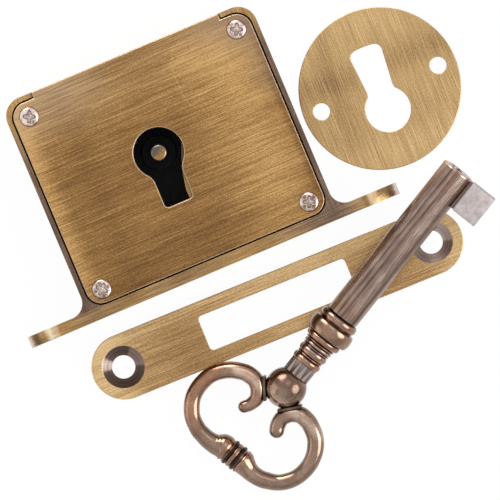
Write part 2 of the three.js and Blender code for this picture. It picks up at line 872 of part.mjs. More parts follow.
// Keyhole drawn about the centre of its round hole: the slot widens away from the hole and
// ends in an arc about the same centre.
function escutcheonKeyhole() {
  const radius = escutcheonHoleDiameter / 2;
  const neck = escutcheonNeckWidth / 2;
  const mouth = escutcheonMouthWidth / 2;
  const neckY = radius;
  const holeAngle = Math.acos((neck + escutcheonNeckFlare) / radius);
  const neckFootY = Math.sqrt(radius ** 2 - neck ** 2);
  const endAngle = Math.acos((mouth - escutcheonCorner) / escutcheonSlotReach);
  const cornerY = Math.sqrt(escutcheonSlotReach ** 2 - mouth ** 2);
  const holeY = -escutcheonHoleOffset;
  const left = polar(radius, Math.PI - holeAngle);
  const path = new THREE.Path();
  path.absarc(0, holeY, radius, Math.PI - holeAngle, Math.PI * 2 + holeAngle);
  path.quadraticCurveTo(neck, holeY + neckFootY, neck, holeY + neckY);
  path.lineTo(mouth, holeY + cornerY - escutcheonCorner);
  const [endX, endY] = polar(escutcheonSlotReach, endAngle).toArray();
  path.quadraticCurveTo(mouth, holeY + cornerY, endX, holeY + endY);
  path.absarc(0, holeY, escutcheonSlotReach, endAngle, Math.PI - endAngle);
  path.quadraticCurveTo(-mouth, holeY + cornerY, -mouth, holeY + cornerY - escutcheonCorner);
  path.lineTo(-neck, holeY + neckY);
  path.quadraticCurveTo(-neck, holeY + neckFootY, left.x, holeY + left.y);
  return path;
}

function escutcheon() {
  const outline = new THREE.Shape();
  outline.absarc(0, 0, escutcheonDiameter / 2, 0, Math.PI * 2);
  outline.holes.push(escutcheonKeyhole());
  const holes = [-1, 1].map((side) => at(
    cylinder(escutcheonScrewHole / 2, -overrun, escutcheonThickness + overrun),
    side * escutcheonScrewSpacing / 2,
    0,
  ));
  const plate = bevelledPlate(outline, escutcheonThickness, plateEdge, smallSegments);
  const mesh = meshOf('escutcheon', plate.subtract(union(holes)), agedBrass);
  mesh.position.set(escutcheonX, escutcheonY, 0);
  mesh.rotation.z = escutcheonTurn;
  return mesh;
}

// A rod of round section along a curve in the bow's plane. The curve's third coordinate
// carries the rod's radius.
function taperedRod(curve, steps, sides) {
  const positions = [];
  const faces = [];
  for (let step = 0; step <= steps; step += 1) {
    const point = curve.getPoint(step / steps);
    const tangent = curve.getTangent(step / steps).setZ(0).normalize();
    const across = new THREE.Vector3(-tangent.y, tangent.x, 0);
    for (let side = 0; side < sides; side += 1) {
      const offset = polar(point.z, (side / sides) * Math.PI * 2);
      positions.push(point.x + across.x * offset.x, point.y + across.y * offset.x, offset.y);
    }
  }
  for (let step = 0; step < steps; step += 1) {
    for (let side = 0; side < sides; side += 1) {
      const next = (side + 1) % sides;
      const near = step * sides;
      const far = near + sides;
      faces.push(near + side, near + next, far + side, near + next, far + next, far + side);
    }
  }
  const last = steps * sides;
  for (let side = 1; side < sides - 1; side += 1) {
    faces.push(0, side + 1, side, last, last + side, last + side + 1);
  }
  const geometry = new THREE.BufferGeometry();
  geometry.setAttribute('position', new THREE.Float32BufferAttribute(positions, 3));
  geometry.setIndex(faces);
  return solidOf(geometry);
}

// One scroll of the bow, from the ringed end round to its curled tip beside the ball. It is
// drawn on the left of the key's axis.
function bowScroll(shares) {
  const wire = bowWireDiameter / 2;
  const points = shares.map(([along, across, girth]) =>
    new THREE.Vector3(-bowReach * along, bowHalfWidth * across, wire * girth));
  const curve = new THREE.CatmullRomCurve3(points, false, 'catmullrom', 0.5);
  const tip = points.at(-1);
  return union([
    taperedRod(curve, roundSegments, bowRodSides),
    at(ball(tip.z), tip.x, tip.y),
  ]);
}

// The bow's far end: a short round bar across the axis with a ring on either side of its
// middle, each between two fine notches.
function bowEnd() {
  const radius = bowEndDiameter / 2;
  const half = bowEndLength / 2;
  const floor = radius - bowRingNotch;
  const inner = half * bowRingShares.inner;
  const outer = half * bowRingShares.outer;
  const ring = [
    [radius - bowRingNotchWidth, inner - 2 * bowRingNotchWidth],
    [floor, inner - bowRingNotchWidth],
    [radius, inner],
    [radius, outer],
    [floor, outer + bowRingNotchWidth],
    [floor, half],
  ];
  const mirrored = ring.map(([reach, place]) => [reach, -place]).reverse();
  const bar = turned([[0, -half], ...mirrored, ...ring, [0, half]], roundSegments / 2);
  return at(alongMinusY(bar), radius - bowReach, -bowEndOffset);
}

// A thin web where a scroll is joined to the ball, square to the ball's radius.
function bowFlange() {
  const web = box(
    around(0, bowFlangeLength / 2),
    around(0, bowFlangeThickness / 2),
    around(0, bowFlangeHeight / 2),
  );
  const centre = polar(ballDiameter / 2, bowFlangeAngle);
  const turn = THREE.MathUtils.radToDeg(bowFlangeAngle) - 90;
  return at(web.rotate([0, 0, turn]), centre.x, centre.y);
}

// The turned collar between ball and barrel: rounded beads that start and end a little
// below their crown, with narrow grooves between them.
function collarBeads() {
  const bulge = bulgeDiameter / 2;
  const core = neckDiameter / 2 - fluteDepth;
  const beadSteps = cornerSegments / 2;
  const beads = collarBeadShares.flatMap(([from, to, height]) =>
    Array.from({ length: beadSteps + 1 }, (_, index) => {
      const share = index / beadSteps;
      const swell = Math.sqrt(Math.sin(Math.PI * share));
      return [
        bulge * height * (collarGrooveShare + (1 - collarGrooveShare) * swell),
        collarStart + collarLength * (from + (to - from) * share),
      ];
    }));
  const [lastFloor] = beads.at(-1);
  return turned([
    [0, collarStart],
    [core, collarStart],
    ...beads,
    [lastFloor, collarStart + collarLength],
    [0, collarStart + collarLength],
  ], roundSegments / 2);
}

// The neck next to the ball, with hollow flutes round it.
function flutedNeck() {
  const count = fluteCount * cornerSegments / 2;
  const outline = new THREE.Shape(Array.from({ length: count }, (_, index) => {
    const angle = (index / count) * Math.PI * 2;
    const hollow = Math.abs(Math.cos(angle * fluteCount / 2));
    return polar(neckDiameter / 2 - fluteDepth * hollow, angle);
  }));
  return prism(outline, collarStart, collarStart + neckLength);
}

// Bow, ball and collar, cast in one, with a spigot for the barrel.
function keyBow() {
  const flange = bowFlange();
  const stem = union([collarBeads(), flutedNeck()]);
  const collarEnd = collarStart + collarLength;
  const spigot = cylinder(spigotDiameter / 2, collarEnd - overrun, collarEnd + spigotLength);
  const solid = union([
    ball(ballDiameter / 2),
    bowScroll(bowScrollShares.left),
    bowScroll(bowScrollShares.right).mirror([0, 1, 0]),
    flange,
    flange.mirror([0, 1, 0]),
    bowEnd(),
    alongX(stem.add(spigot)),
  ]);
  return meshOf('key_bow', solid, agedCopper);
}

// Barrel with its bit: the bore takes the key pin at one end and the spigot at the other.
function keyBarrel() {
  const outer = barrelDiameter / 2;
  const bore = barrelBore / 2;
  const tube = turned([
    [bore, 0],
    [outer, 0],
    [outer, barrelLength - barrelEdge],
    [outer - barrelEdge, barrelLength],
    [bore, barrelLength],
    [bore, 0],
  ], roundSegments);
  const bitEnd = barrelLength - bitSetback;
  const span = [bitEnd - bitLength, bitEnd];
  const web = box(
    span,
    [-outer - bitNeckReach - bitRootDepth, bitRootDepth - outer],
    around(0, bitNeckThickness / 2),
  );
  const blade = box(
    span,
    [-bitRadius - overrun, -outer - bitNeckReach],
    around(0, bitThickness / 2),
  ).intersect(alongX(cylinder(bitRadius, 0, barrelLength, 2 * roundSegments)));
  const mesh = meshOf('key_barrel', alongX(tube).add(web).add(blade), brushedCopper);
  mesh.position.x = barrelStart;
  return mesh;
}

// The key lies across the strike plate: its bow's end is on the table, and its widest bead
// rests on the plate's edge.
function keyGroup() {
  const endReach = bowReach - bowEndDiameter / 2;
  const endHeight = bowEndDiameter / 2;
  const bulgeHeight = strikeThickness + jointGap + bulgeDiameter / 2 * bulgeRestShare;
  const slope = (bulgeHeight - endHeight) / (bulgeCentre + endReach);
  const group = new THREE.Group();
  group.add(keyBow(), keyBarrel());
  group.position.set(keyX, keyY, endHeight + endReach * slope);
  group.rotation.set(0, -Math.atan(slope), keyHeading, 'ZYX');
  return group;
}

function lockGroup() {
  const group = new THREE.Group();
  group.add(
    lockCase(),
    coverPlate(),
    ...screwPlaces.map(coverScrew),
    keyPin(),
    bolt(),
    gateStump(),
    ...Object.keys(guideStudPlacesX).map(guideStud),
    lever(),
    leverPost(),
    leverWasher(),
    leverSpring(),
  );
  return group;
}

const group = new THREE.Group();
group.add(lockGroup(), strikePlate(), escutcheon(), keyGroup());

export default group;
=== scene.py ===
"""Looks of the drawer lock set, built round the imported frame.

Sizes are in millimetres in the dataclasses and are turned into metres where a mesh is made.
The key's pieces are worked out in the key's own frame, whose X axis runs from the ball to the
barrel's tip, and are then laid where the frame has the key.
"""

import logging
import math
from dataclasses import dataclass
from enum import Enum
from typing import Callable, Sequence

import bmesh
import bpy
import numpy as np
from mathutils import Matrix, Vector
from mathutils.geometry import tessellate_polygon


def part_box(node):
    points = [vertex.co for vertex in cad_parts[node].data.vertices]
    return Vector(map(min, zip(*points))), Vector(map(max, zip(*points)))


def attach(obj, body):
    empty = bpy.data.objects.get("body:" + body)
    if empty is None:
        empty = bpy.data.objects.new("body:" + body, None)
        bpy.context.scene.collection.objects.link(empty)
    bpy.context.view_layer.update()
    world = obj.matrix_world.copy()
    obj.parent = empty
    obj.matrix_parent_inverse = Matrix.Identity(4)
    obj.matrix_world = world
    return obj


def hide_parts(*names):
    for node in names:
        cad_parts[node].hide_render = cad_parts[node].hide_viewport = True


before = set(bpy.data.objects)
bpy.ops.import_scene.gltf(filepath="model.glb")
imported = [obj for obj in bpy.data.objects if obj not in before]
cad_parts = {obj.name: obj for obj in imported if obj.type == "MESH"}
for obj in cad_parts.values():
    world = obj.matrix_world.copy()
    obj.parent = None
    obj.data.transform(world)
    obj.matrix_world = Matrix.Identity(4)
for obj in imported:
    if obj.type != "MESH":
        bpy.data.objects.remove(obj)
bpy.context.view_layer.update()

log = logging.getLogger("drawer_lock")

MM = 0.001
TAU = 2 * math.pi

# Limits for the meshes: MERGE is in metres, SQUARE_TO_AXIS a share of a normal's length
SHARP_ANGLE = math.radians(32)
SAME_PLANE = math.radians(0.2)
SQUARE_TO_AXIS = 0.9999
MERGE = 2e-7

Colour = tuple[int, int, int]
Pair = tuple[float, float]
Triple = tuple[float, float, float]
Shade = tuple[int, float, float, float]
Array = np.ndarray

# Colours, and sizes in millimetres; a rounded corner takes at most CORNER_SHARE of a side
# Near-black colours: the first for painted shade, the second for painted shade and patina.
SHADE_BLACK = (9, 9, 10)
SHADE_AND_PATINA = (30, 23, 21)
SINK_RADIUS = 4.05
HOLE_EDGE = 0.05
CORNER_SHARE = 0.49


# Shader expressions

def linear(colour: Colour) -> Triple:
    """Linear colour of a screen colour, whose levels go from 0 to 255."""
    shares = (level / 255 for level in colour)
    return tuple(share / 12.92 if share <= 0.04045 else ((share + 0.055) / 1.055) ** 2.4
                 for share in shares)


def arithmetic(operation: str, swapped: bool = False) -> "Callable[[Value, Value | float], Value]":
    """A method of Value that adds one Math node, with its two terms swapped if asked."""
    def method(value: "Value", other: "Value | float") -> "Value":
        """The node's result."""
        return value.shader.maths(operation, *((other, value) if swapped else (value, other)))
    return method


class Value:
    """A socket that takes part in Python expressions, each of which adds its nodes."""

    __add__ = __radd__ = arithmetic("ADD")
    __sub__ = arithmetic("SUBTRACT")
    __rsub__ = arithmetic("SUBTRACT", swapped=True)
    __mul__ = arithmetic("MULTIPLY")
    __pow__ = arithmetic("POWER")

    def __init__(self, shader: "Shader", socket: bpy.types.NodeSocket) -> None:
        """Keeps the shader that owns the socket, and the socket."""
        self.shader = shader
        self.socket = socket

    def __abs__(self) -> "Value":
        """Size without its sign."""
        return self.shader.maths("ABSOLUTE", self)

    def rises(self, low: float, high: float) -> "Value":
        """Smooth step from 0 at low to 1 at high."""
        return self.shader.node("MapRange", {"interpolation_type": "SMOOTHSTEP"},
                                {"Value": self, "From Min": low, "From Max": high})

    def hump(self, middle: "Value | float", half: float) -> "Value":
        """Smooth hump, 1 at the middle and 0 beyond half on either side."""
        return 1 - abs(self - middle).rises(0.0, half)

    def within(self, low: float, high: float, edge: float) -> "Value":
        """1 between low and high, 0 outside, with soft edges inside that range."""
        return self.rises(low, low + edge) * (1 - self.rises(high - edge, high))

    def limited(self) -> "Value":
        """The value held between 0 and 1."""
        return self.shader.node("Clamp", None, {"Value": self})


Number = Value | float
Tint = Value | Colour


class Shader:
    """A material or world whose nodes are made from Python expressions."""

    def __init__(self, name: str, world: bool = False) -> None:
        """Makes an empty node tree with its output node, for a material or for the world."""
        self.block = (bpy.data.worlds if world else bpy.data.materials).new(name)
        self.block.use_nodes = True
        self.tree = self.block.node_tree
        self.tree.nodes.clear()
        self.output = self.tree.nodes.new("ShaderNodeOutput" + ("World" if world else "Material"))

    def node(self, kind: str, settings: dict | None = None, inputs: dict | None = None,
             out: int | str = 0) -> Value:
        """Adds one node.

        Args:
            kind: Type of the node, without its ShaderNode prefix.
            settings: Properties of the node, set first.
            inputs: Numbers, linear colours or values for sockets, by name or index.
            out: Name or index of the output that is returned.

        Returns:
            The output as a value.
        """
        made = self.tree.nodes.new("ShaderNode" + kind)
        for key, setting in (settings or {}).items():
            setattr(made, key, setting)
        for key, given in (inputs or {}).items():
            if isinstance(given, Value):
                self.tree.links.new(given.socket, made.inputs[key])
            elif made.inputs[key].type == "RGBA":
                made.inputs[key].default_value = (*given, 1.0)
            else:
                made.inputs[key].default_value = given
        return Value(self, made.outputs[out])

    def maths(self, operation: str, *terms: Number) -> Value:
        """One Math node on numbers."""
        return self.node("Math", {"operation": operation}, dict(enumerate(terms)))

    def vector(self, operation: str, first: Value, *others: Value | Sequence[float],
               out: int | str = 0) -> Value:
        """One Vector Math node on vectors."""
        terms = [first, *(other if isinstance(other, Value) else tuple(other) for other in others)]
        return self.node("VectorMath", {"operation": operation}, dict(enumerate(terms)), out)

    def place(self, centre: Triple = (0, 0, 0), turn: Triple = (0, 0, 0)) -> Value:
        """Object coordinates in millimetres, from a centre and along axes turned by radians."""
        return self.node("Mapping", {"vector_type": "TEXTURE"}, {
            "Vector": self.node("TexCoord", out="Object"),
            "Location": tuple(value * MM for value in centre), "Rotation": turn, "Scale": (MM,) * 3,
        })

    def split(self, vector: Value) -> list[Value]:
        """The three numbers of a vector."""
        first = self.node("SeparateXYZ", None, {0: vector})
        return [Value(self, socket) for socket in first.socket.node.outputs]

    def reach(self, place: Value, point: Triple, axes: Triple) -> tuple[Value, Value]:
        """Way and distance of a place from a point, on the axes that are 1."""
        flat = self.vector("MULTIPLY", self.vector("SUBTRACT", place, point), axes)
        return flat, self.vector("LENGTH", flat, out="Value")

    def in_plan(self, place: Value, x: float = 0, y: float = 0) -> Value:
        """Distance of a place from an upright axis."""
        return self.reach(place, (x, y, 0), (1, 1, 0))[1]

    def noise(self, place: Value, scale: float | Triple, detail: float, rough: float) -> Value:
        """Noise about 0, mostly within 0.25 of it, at one scale or at one for each axis."""
        if isinstance(scale, tuple):
            place, scale = self.vector("MULTIPLY", place, scale), 1.0
        return self.node("TexNoise", None, {
            "Vector": place, "Scale": scale, "Detail": detail, "Roughness": rough,
        }) - 0.5

    def patina_and_shade(self) -> Value:
        """The mesh's own attribute for patina and painted shade."""
        return self.node("Attribute", {"attribute_name": "patina_and_shade"}, out="Fac")

    def mix(self, share: Number, first: Tint, second: Tint) -> Value:
        """Mix of two colours, the second by its share."""
        tints = [tint if isinstance(tint, Value) else linear(tint) for tint in (first, second)]
        return self.node("Mix", {"data_type": "RGBA"}, {0: share, 6: tints[0], 7: tints[1]}, out=2)

    def ramp(self, share: Value, places: Sequence[float], *colours: Colour) -> Value:
        """Colour ramp with a screen colour at each of its places."""
        made = self.node("ValToRGB", None, {0: share})
        elements = made.socket.node.color_ramp.elements
        while len(elements) < len(places):
            elements.new(1.0)
        for element, place, colour in zip(elements, places, colours):
            element.position = place
            element.color = (*linear(colour), 1.0)
        return made

    def shaded(self, tone: Value, axes: Sequence[Value], shades: Sequence[Shade]) -> Value:
        """A tone with humps of light or shade, each with its axis, middle, half width and gain."""
        for axis, middle, half, gain in shades:
            tone = tone + axes[axis].hump(middle, half) * gain
        return tone

    def sunk(self, colour: Value, place: Value, centre: Triple, axes: Triple,
             light: float = 0.0) -> Value:
        """A colour with a countersink laid over it.

        Its mauve-brown has the cutter's rings and two wedges of painted highlight.

        Args:
            colour: Colour round the countersink.
            place: Coordinates in millimetres.
            centre: A point on the hole's axis.
            axes: 1 for each axis square to the hole's, 0 for the other.
            light: How much lighter the whole cone is.

        Returns:
            The colour.
        """
        way, radius = self.reach(place, centre, axes)
        inside = 1 - radius.rises(SINK_RADIUS - 0.1, SINK_RADIUS)
        rings = self.noise(self.node("CombineXYZ", None, {0: radius}), 3.4, 2, 0.6)
        ahead = self.vector("NORMALIZE", way)
        # Two wedges of painted highlight on the cone, a wide one and a slim one.
        wide_highlight, slim_highlight = (self.vector("DOT_PRODUCT", ahead, (math.cos(angle), math.sin(angle), 0.0),
                                  out="Value") for angle in (0.3, 2.66))
        tone = 0.2 + light + rings * 0.6 + slim_highlight.rises(0.9, 0.98) * 0.5 + wide_highlight.rises(0.76, 0.9) * 0.3
        cone = self.ramp(tone, (0.0, 0.3, 0.6, 1.0), (66, 54, 50), (112, 94, 86), (166, 144, 134),
                         (250, 240, 236))
        return self.mix(inside, colour, cone)

    def metal(self, colour: Value, rough: Number, metallic: Number, height: Value, depth: float,
              coat: float = 0.0) -> bpy.types.Material:
        """Ends the material with a metal.

        Args:
            colour: Base colour.
            rough: Roughness.
            metallic: How metallic it is.
            height: Relief, whose unit stands for the depth.
            depth: Depth of the relief in millimetres.
            coat: Weight of the clear coat.

        Returns:
            The finished material.
        """
        normal = self.node("Bump", None, {"Height": height, "Distance": depth * MM})
        return self.ended(self.node("BsdfPrincipled", None, {
            "Base Color": colour, "Roughness": rough, "Metallic": metallic, "Coat Weight": coat,
            "Coat Roughness": 0.2, "Normal": normal,
        }))

    def ended(self, surface: Value) -> "bpy.types.Material | bpy.types.World":
        """The material or world, with its surface linked to its output."""
        self.tree.links.new(surface.socket, self.output.inputs["Surface"])
        return self.block


# Finishes

STOPS = (0.1, 0.5, 0.9)


@dataclass(frozen=True)
class Scratch:
    """A fine bright scratch across the grain, along x = x0 + k (y - y0)^4, broken in places."""

    x: float = 8.4
    y: float = 10.5
    bend: float = 0.0012
    span: Pair = (5.4, 19.4)
    half: float = 0.13
    tint: Colour = (226, 196, 146)

    def laid(self, shader: Shader, colour: Value, x: Value, y: Value) -> Value:
        """A colour with the scratch laid over it, where x runs along the grain and y across."""
        place = shader.node("CombineXYZ", None, {1: y})
        wander = shader.noise(place, 0.5, 2, 0.6) * 1.1
        broken = (0.5 + shader.noise(place, 1.6, 2, 0.6) * 3).limited()
        route = (y - self.y) ** 4 * self.bend + self.x + wander
        share = x.hump(route, self.half) * y.within(*self.span, 0.5) * broken
        return shader.mix(share * 0.6, colour, self.tint)


@dataclass(frozen=True)
class BrushedBrass:
    """Antique brass that is brushed one way, with smoke patches in places, and lacquered.

    The shades are measured along the grain (0) or across it (1). The milk field is where across
    the grain the surface turns milky, and over what length, and milk_fades where along it the
    milk fades. The sinks field holds the countersinks, each with its middle and how much lighter
    it is, and the smoke field mauve patches, each with its middle, radius and share.
    """

    name: str
    top: float
    centre: Triple = (0, 0, 0)
    turn: float = 0.0
    shades: tuple[Shade, ...] = ()
    dark: Colour = (96, 66, 36)
    middle: Colour = (153, 114, 68)
    light: Colour = (214, 172, 112)
    milk: Pair | None = None
    milk_fades: Pair = (-13, 0)
    sinks: tuple[Triple, ...] = ()
    smoke: tuple[tuple[float, float, float, float], ...] = ()
    scratch: Scratch | None = None
    edge_light: float = 0.6
    level: float = 0.5

    def make(self) -> bpy.types.Material:
        """Builds the material."""
        shader = Shader(self.name)
        place = shader.place(self.centre, (0, 0, self.turn))
        along, across, up = shader.split(place)
        streak = shader.noise(place, (0.055, 4.0, 0.1), 3, 0.6)
        hair = shader.noise(place, (0.13, 7.0, 0.1), 2, 0.6)
        broad = shader.noise(place, (0.05, 0.5, 0.1), 3, 0.6)
        cloud = shader.noise(place, (0.1, 0.13, 0.1), 2, 0.5)
        grit = shader.noise(place, (3.4, 4.2, 0.1), 1, 0.5)
        glint = shader.noise(place, (0.04, 5.0, 0.1), 1, 0.5).rises(0.16, 0.24)
        tone = (self.level + streak * 0.58 + hair * 0.95 + broad * 0.16 + cloud * 0.08
                + grit * 0.6 + glint * 0.2)
        tone = shader.shaded(tone, (along, across), self.shades)
        colour = shader.ramp(tone, (0.08, 0.5, 0.92), self.dark, self.middle, self.light)
        if self.milk:
            milk = across.rises(*self.milk) * (0.5 + hair * 1.4 + streak * 0.8)
            milk = milk * (1 - along.rises(*self.milk_fades) * 0.8)
            colour = shader.mix(milk.limited(), colour, (200, 172, 138))
        for x, y, radius, share in self.smoke:
            patch = shader.in_plan(place, x, y).hump(0, radius) * (share + hair)
            colour = shader.mix(patch.limited(), colour, (142, 119, 104))
        if self.scratch:
            colour = self.scratch.laid(shader, colour, along, across)
        # Painted highlight: a pale line along the rounded top edge, by the share edge_light.
        line = 1 - up.rises(self.top - 0.04, self.top - 0.005)
        colour = shader.mix(line * self.edge_light, colour, (240, 212, 178))
        # Painted shade: the plate's walls and underside, below the rounded edge, are darkened.
        wall = 1 - up.rises(self.top - 0.36, self.top - 0.24)
        colour = shader.mix(wall * 0.85, colour, (92, 68, 50))
        for x, y, light in self.sinks:
            colour = shader.sunk(colour, place, (x, y, 0), (1, 1, 0), light)
        rough = 0.34 + hair * 0.25 + line * 0.2
        return shader.metal(colour, rough, 1.0, streak + hair, 0.012, 0.1)


@dataclass(frozen=True)
class DarkBrass:
    """Darkened brass of the case: golden along parts of the forend, near-black painted shade in the
    works' room.

    The gold field holds golden stretches of the forend, each with its middle, half width and
    share, and the next field narrow bands of painted highlight and shade on its ears, each with
    its own colour.
    """

    name: str = "dark_brass_case"
    top: float = 12.4
    room_x: Pair = (-23.16, 25.76)
    room_y: Pair = (-22.46, 18.86)
    room_floor: float = 0.5
    room_corner: float = 3.35
    rear: float = 19.7
    front: float = -24.65
    forend_back: float = -22.3
    ears: Pair = (-29.95, 32.55)
    ear_height: float = 6.2
    bit_ring: Pair = (3.55, 0.14)
    gold: tuple[Triple, ...] = ((-31, 9, 1.0), (-14, 18, 0.65), (8, 19, 0.8), (34, 7, 0.75))
    ear_highlights_and_shades: tuple[tuple[float, float, Colour, float], ...] = (
        (-31.9, 1.3, (255, 238, 200), 0.85), (-34.7, 1.1, (78, 60, 48), 0.8),
        (-36.0, 0.7, (236, 222, 208), 0.7), (34.3, 0.9, (236, 208, 160), 0.5),
        (32.2, 0.9, (120, 92, 62), 0.5), (37.3, 1.0, (110, 86, 66), 0.7),
        (38.5, 0.7, (236, 226, 214), 0.8),
    )

    def make(self) -> bpy.types.Material:
        """Builds the material."""
        shader = Shader(self.name)
        place = shader.place()
        x, y, z = shader.split(place)
        forend = 1 - y.rises(self.forend_back - 0.1, self.forend_back)
        lengthwise = shader.noise(place, (0.14, 4.0, 3.0), 3, 0.6)
        sidewise = shader.noise(place, (4.0, 0.14, 3.0), 3, 0.6)
        lengths = forend + y.rises(self.rear - 0.2, self.rear - 0.1)
        grain = lengthwise * lengths + sidewise * (1 - lengths)
        hair = shader.noise(place, (3.0, 3.0, 3.0), 2, 0.55)
        cloud = shader.noise(place, (0.12, 0.12, 0.2), 2, 0.5)
        tone = 0.5 + grain * 1.1 + hair * 0.4 + cloud * 0.5
        brown = shader.ramp(tone, STOPS, (78, 61, 51), (110, 89, 75), (168, 140, 118))
        golden = shader.ramp(tone, STOPS, (128, 96, 58), (176, 138, 86), (222, 184, 124))
        share = y.rises(10, 18) * 0.85 + y.rises(-2, 12) * (1 - x.rises(-25, 0)) * 0.25
        for middle, half, gain in self.gold:
            share = share + x.hump(middle, half) * forend * gain
        colour = shader.mix(share.limited(), brown, golden)
        # Painted highlight and painted shade bands across the rounded ends of the ears.
        for middle, half, tint, gain in self.ear_highlights_and_shades:
            band = x.hump(middle + grain * 1.5, half) * forend
            colour = shader.mix(band * gain, colour, tint)
        face = 1 - y.rises(self.front + 0.04, self.front + 0.14)
        colour = shader.mix(face, colour, golden)
        # Painted highlight: a pale line along the rounded top edge of the rim.
        line = z.within(self.top - 0.16, self.top + 0.05, 0.05)
        line = line * (1 - z.rises(self.top - 0.03, self.top))
        colour = shader.mix(line * 0.6, colour, (222, 198, 164))
        for ear in self.ears:
            colour = shader.sunk(colour, place, (ear, 0, self.ear_height), (1, 0, 1))
        # Painted shade: the works' room is near black and not metal, with pale dust and a turned
        # ring.
        room = self.plan(shader, x, y) * z.within(self.room_floor, self.top - 0.08, 0.05)
        dust = shader.noise(place, 1.5, 2, 0.6).rises(0.13, 0.2) * 0.4
        turned_line = shader.in_plan(place).hump(*self.bit_ring) * 0.35
        inside = shader.mix((dust + turned_line).limited(), SHADE_BLACK, (66, 54, 44))
        colour = shader.mix(room, colour, inside)
        rough = (0.36 + hair * 0.2) * (1 - room) + room * 0.8
        return shader.metal(colour, rough, 1 - room, grain + hair, 0.012)

    def plan(self, shader: Shader, x: Value, y: Value) -> Value:
        """1 inside the works' room in plan, a rectangle with rounded corners, and 0 outside."""
        past = []
        for place, (low, high) in ((x, self.room_x), (y, self.room_y)):
            straight = (high - low) / 2 - self.room_corner
            past.append(shader.maths("MAXIMUM", abs(place - (low + high) / 2) - straight, 0.0))
        reach = (past[0] * past[0] + past[1] * past[1]) ** 0.5
        return 1 - reach.rises(self.room_corner - 0.05, self.room_corner)


@dataclass(frozen=True)
class Workmetal:
    """Plain sawn or rolled metal of the works, with grey smoke across a span of Y if one is given.
    """

    name: str
    dark: Colour
    light: Colour
    rough: float = 0.3
    smoke: Pair | None = None

    def make(self) -> bpy.types.Material:
        """Builds the material."""
        shader = Shader(self.name)
        place = shader.place()
        grain = shader.noise(place, (0.15, 3.0, 3.0), 1, 0.5)
        spots = shader.noise(place, 0.6, 2, 0.5)
        tone = 0.5 + grain * 0.45 + spots * 0.15
        colour = shader.ramp(tone, (0.2, 0.8), self.dark, self.light)
        if self.smoke:
            smoke = shader.split(place)[1].rises(*self.smoke) * 0.85
            colour = shader.mix(smoke, colour, (92, 76, 68))
        return shader.metal(colour, self.rough + spots * 0.15, 1.0, grain, 0.003)


@dataclass(frozen=True)
class PinBrass:
    """The key pin's end: grey smoke to the rear, brass to the forend, a painted highlight on the
    rim.
    """

    name: str = "pin_brass"
    radius: float = 1.6
    end: float = 11.5

    def make(self) -> bpy.types.Material:
        """Builds the material."""
        shader = Shader(self.name)
        place = shader.place()
        x, y, z = shader.split(place)
        spots = shader.noise(place, 1.6, 3, 0.6)
        smoke = (y - x * 0.4 + spots * 2.4).rises(-0.75, 0.5)
        colour = shader.mix(smoke, (164, 122, 72), (100, 91, 84))
        # Painted highlight on the rounded rim of the pin's end.
        rim_highlight = shader.in_plan(place).rises(self.radius - 0.42, self.radius - 0.2)
        rim_highlight = rim_highlight * z.rises(self.end - 0.5, self.end - 0.3)
        colour = shader.mix(rim_highlight * 0.8, colour, (178, 164, 150))
        # Painted shade down the pin's side, below its end.
        colour = shader.mix(1 - z.rises(self.end - 1.4, self.end - 0.35), colour, SHADE_AND_PATINA)
        return shader.metal(colour, 0.3 + spots * 0.3, 1.0, spots, 0.03)


@dataclass(frozen=True)
class ScrewNickel:
    """Nickel plate with a fine speckle and a pink cast, darker where the mesh paints shade."""

    name: str = "nickel_screw"
    shade_tint: Colour = (112, 84, 68)

    def make(self) -> bpy.types.Material:
        """Builds the material."""
        shader = Shader(self.name)
        place = shader.place()
        speckle = shader.noise(place, 2.4, 3, 0.6)
        grey = shader.noise(place, 0.55, 1, 0.5)
        colour = shader.ramp(0.5 + speckle * 1.3 + grey * 1.1, (0.15, 0.42, 0.72),
                             (138, 122, 116), (206, 184, 176), (246, 230, 222))
        # Painted shade from the mesh's attribute: in the recess, round the rim and between the
        # arms.
        colour = shader.mix(shader.patina_and_shade().limited(), colour, self.shade_tint)
        return shader.metal(colour, 0.34 + speckle * 0.3, 1.0, speckle, 0.03)


class Lay(Enum):
    """How the plating of a key piece is worked over."""

    POLISHED = "polished"
    BRUSHED = "brushed"


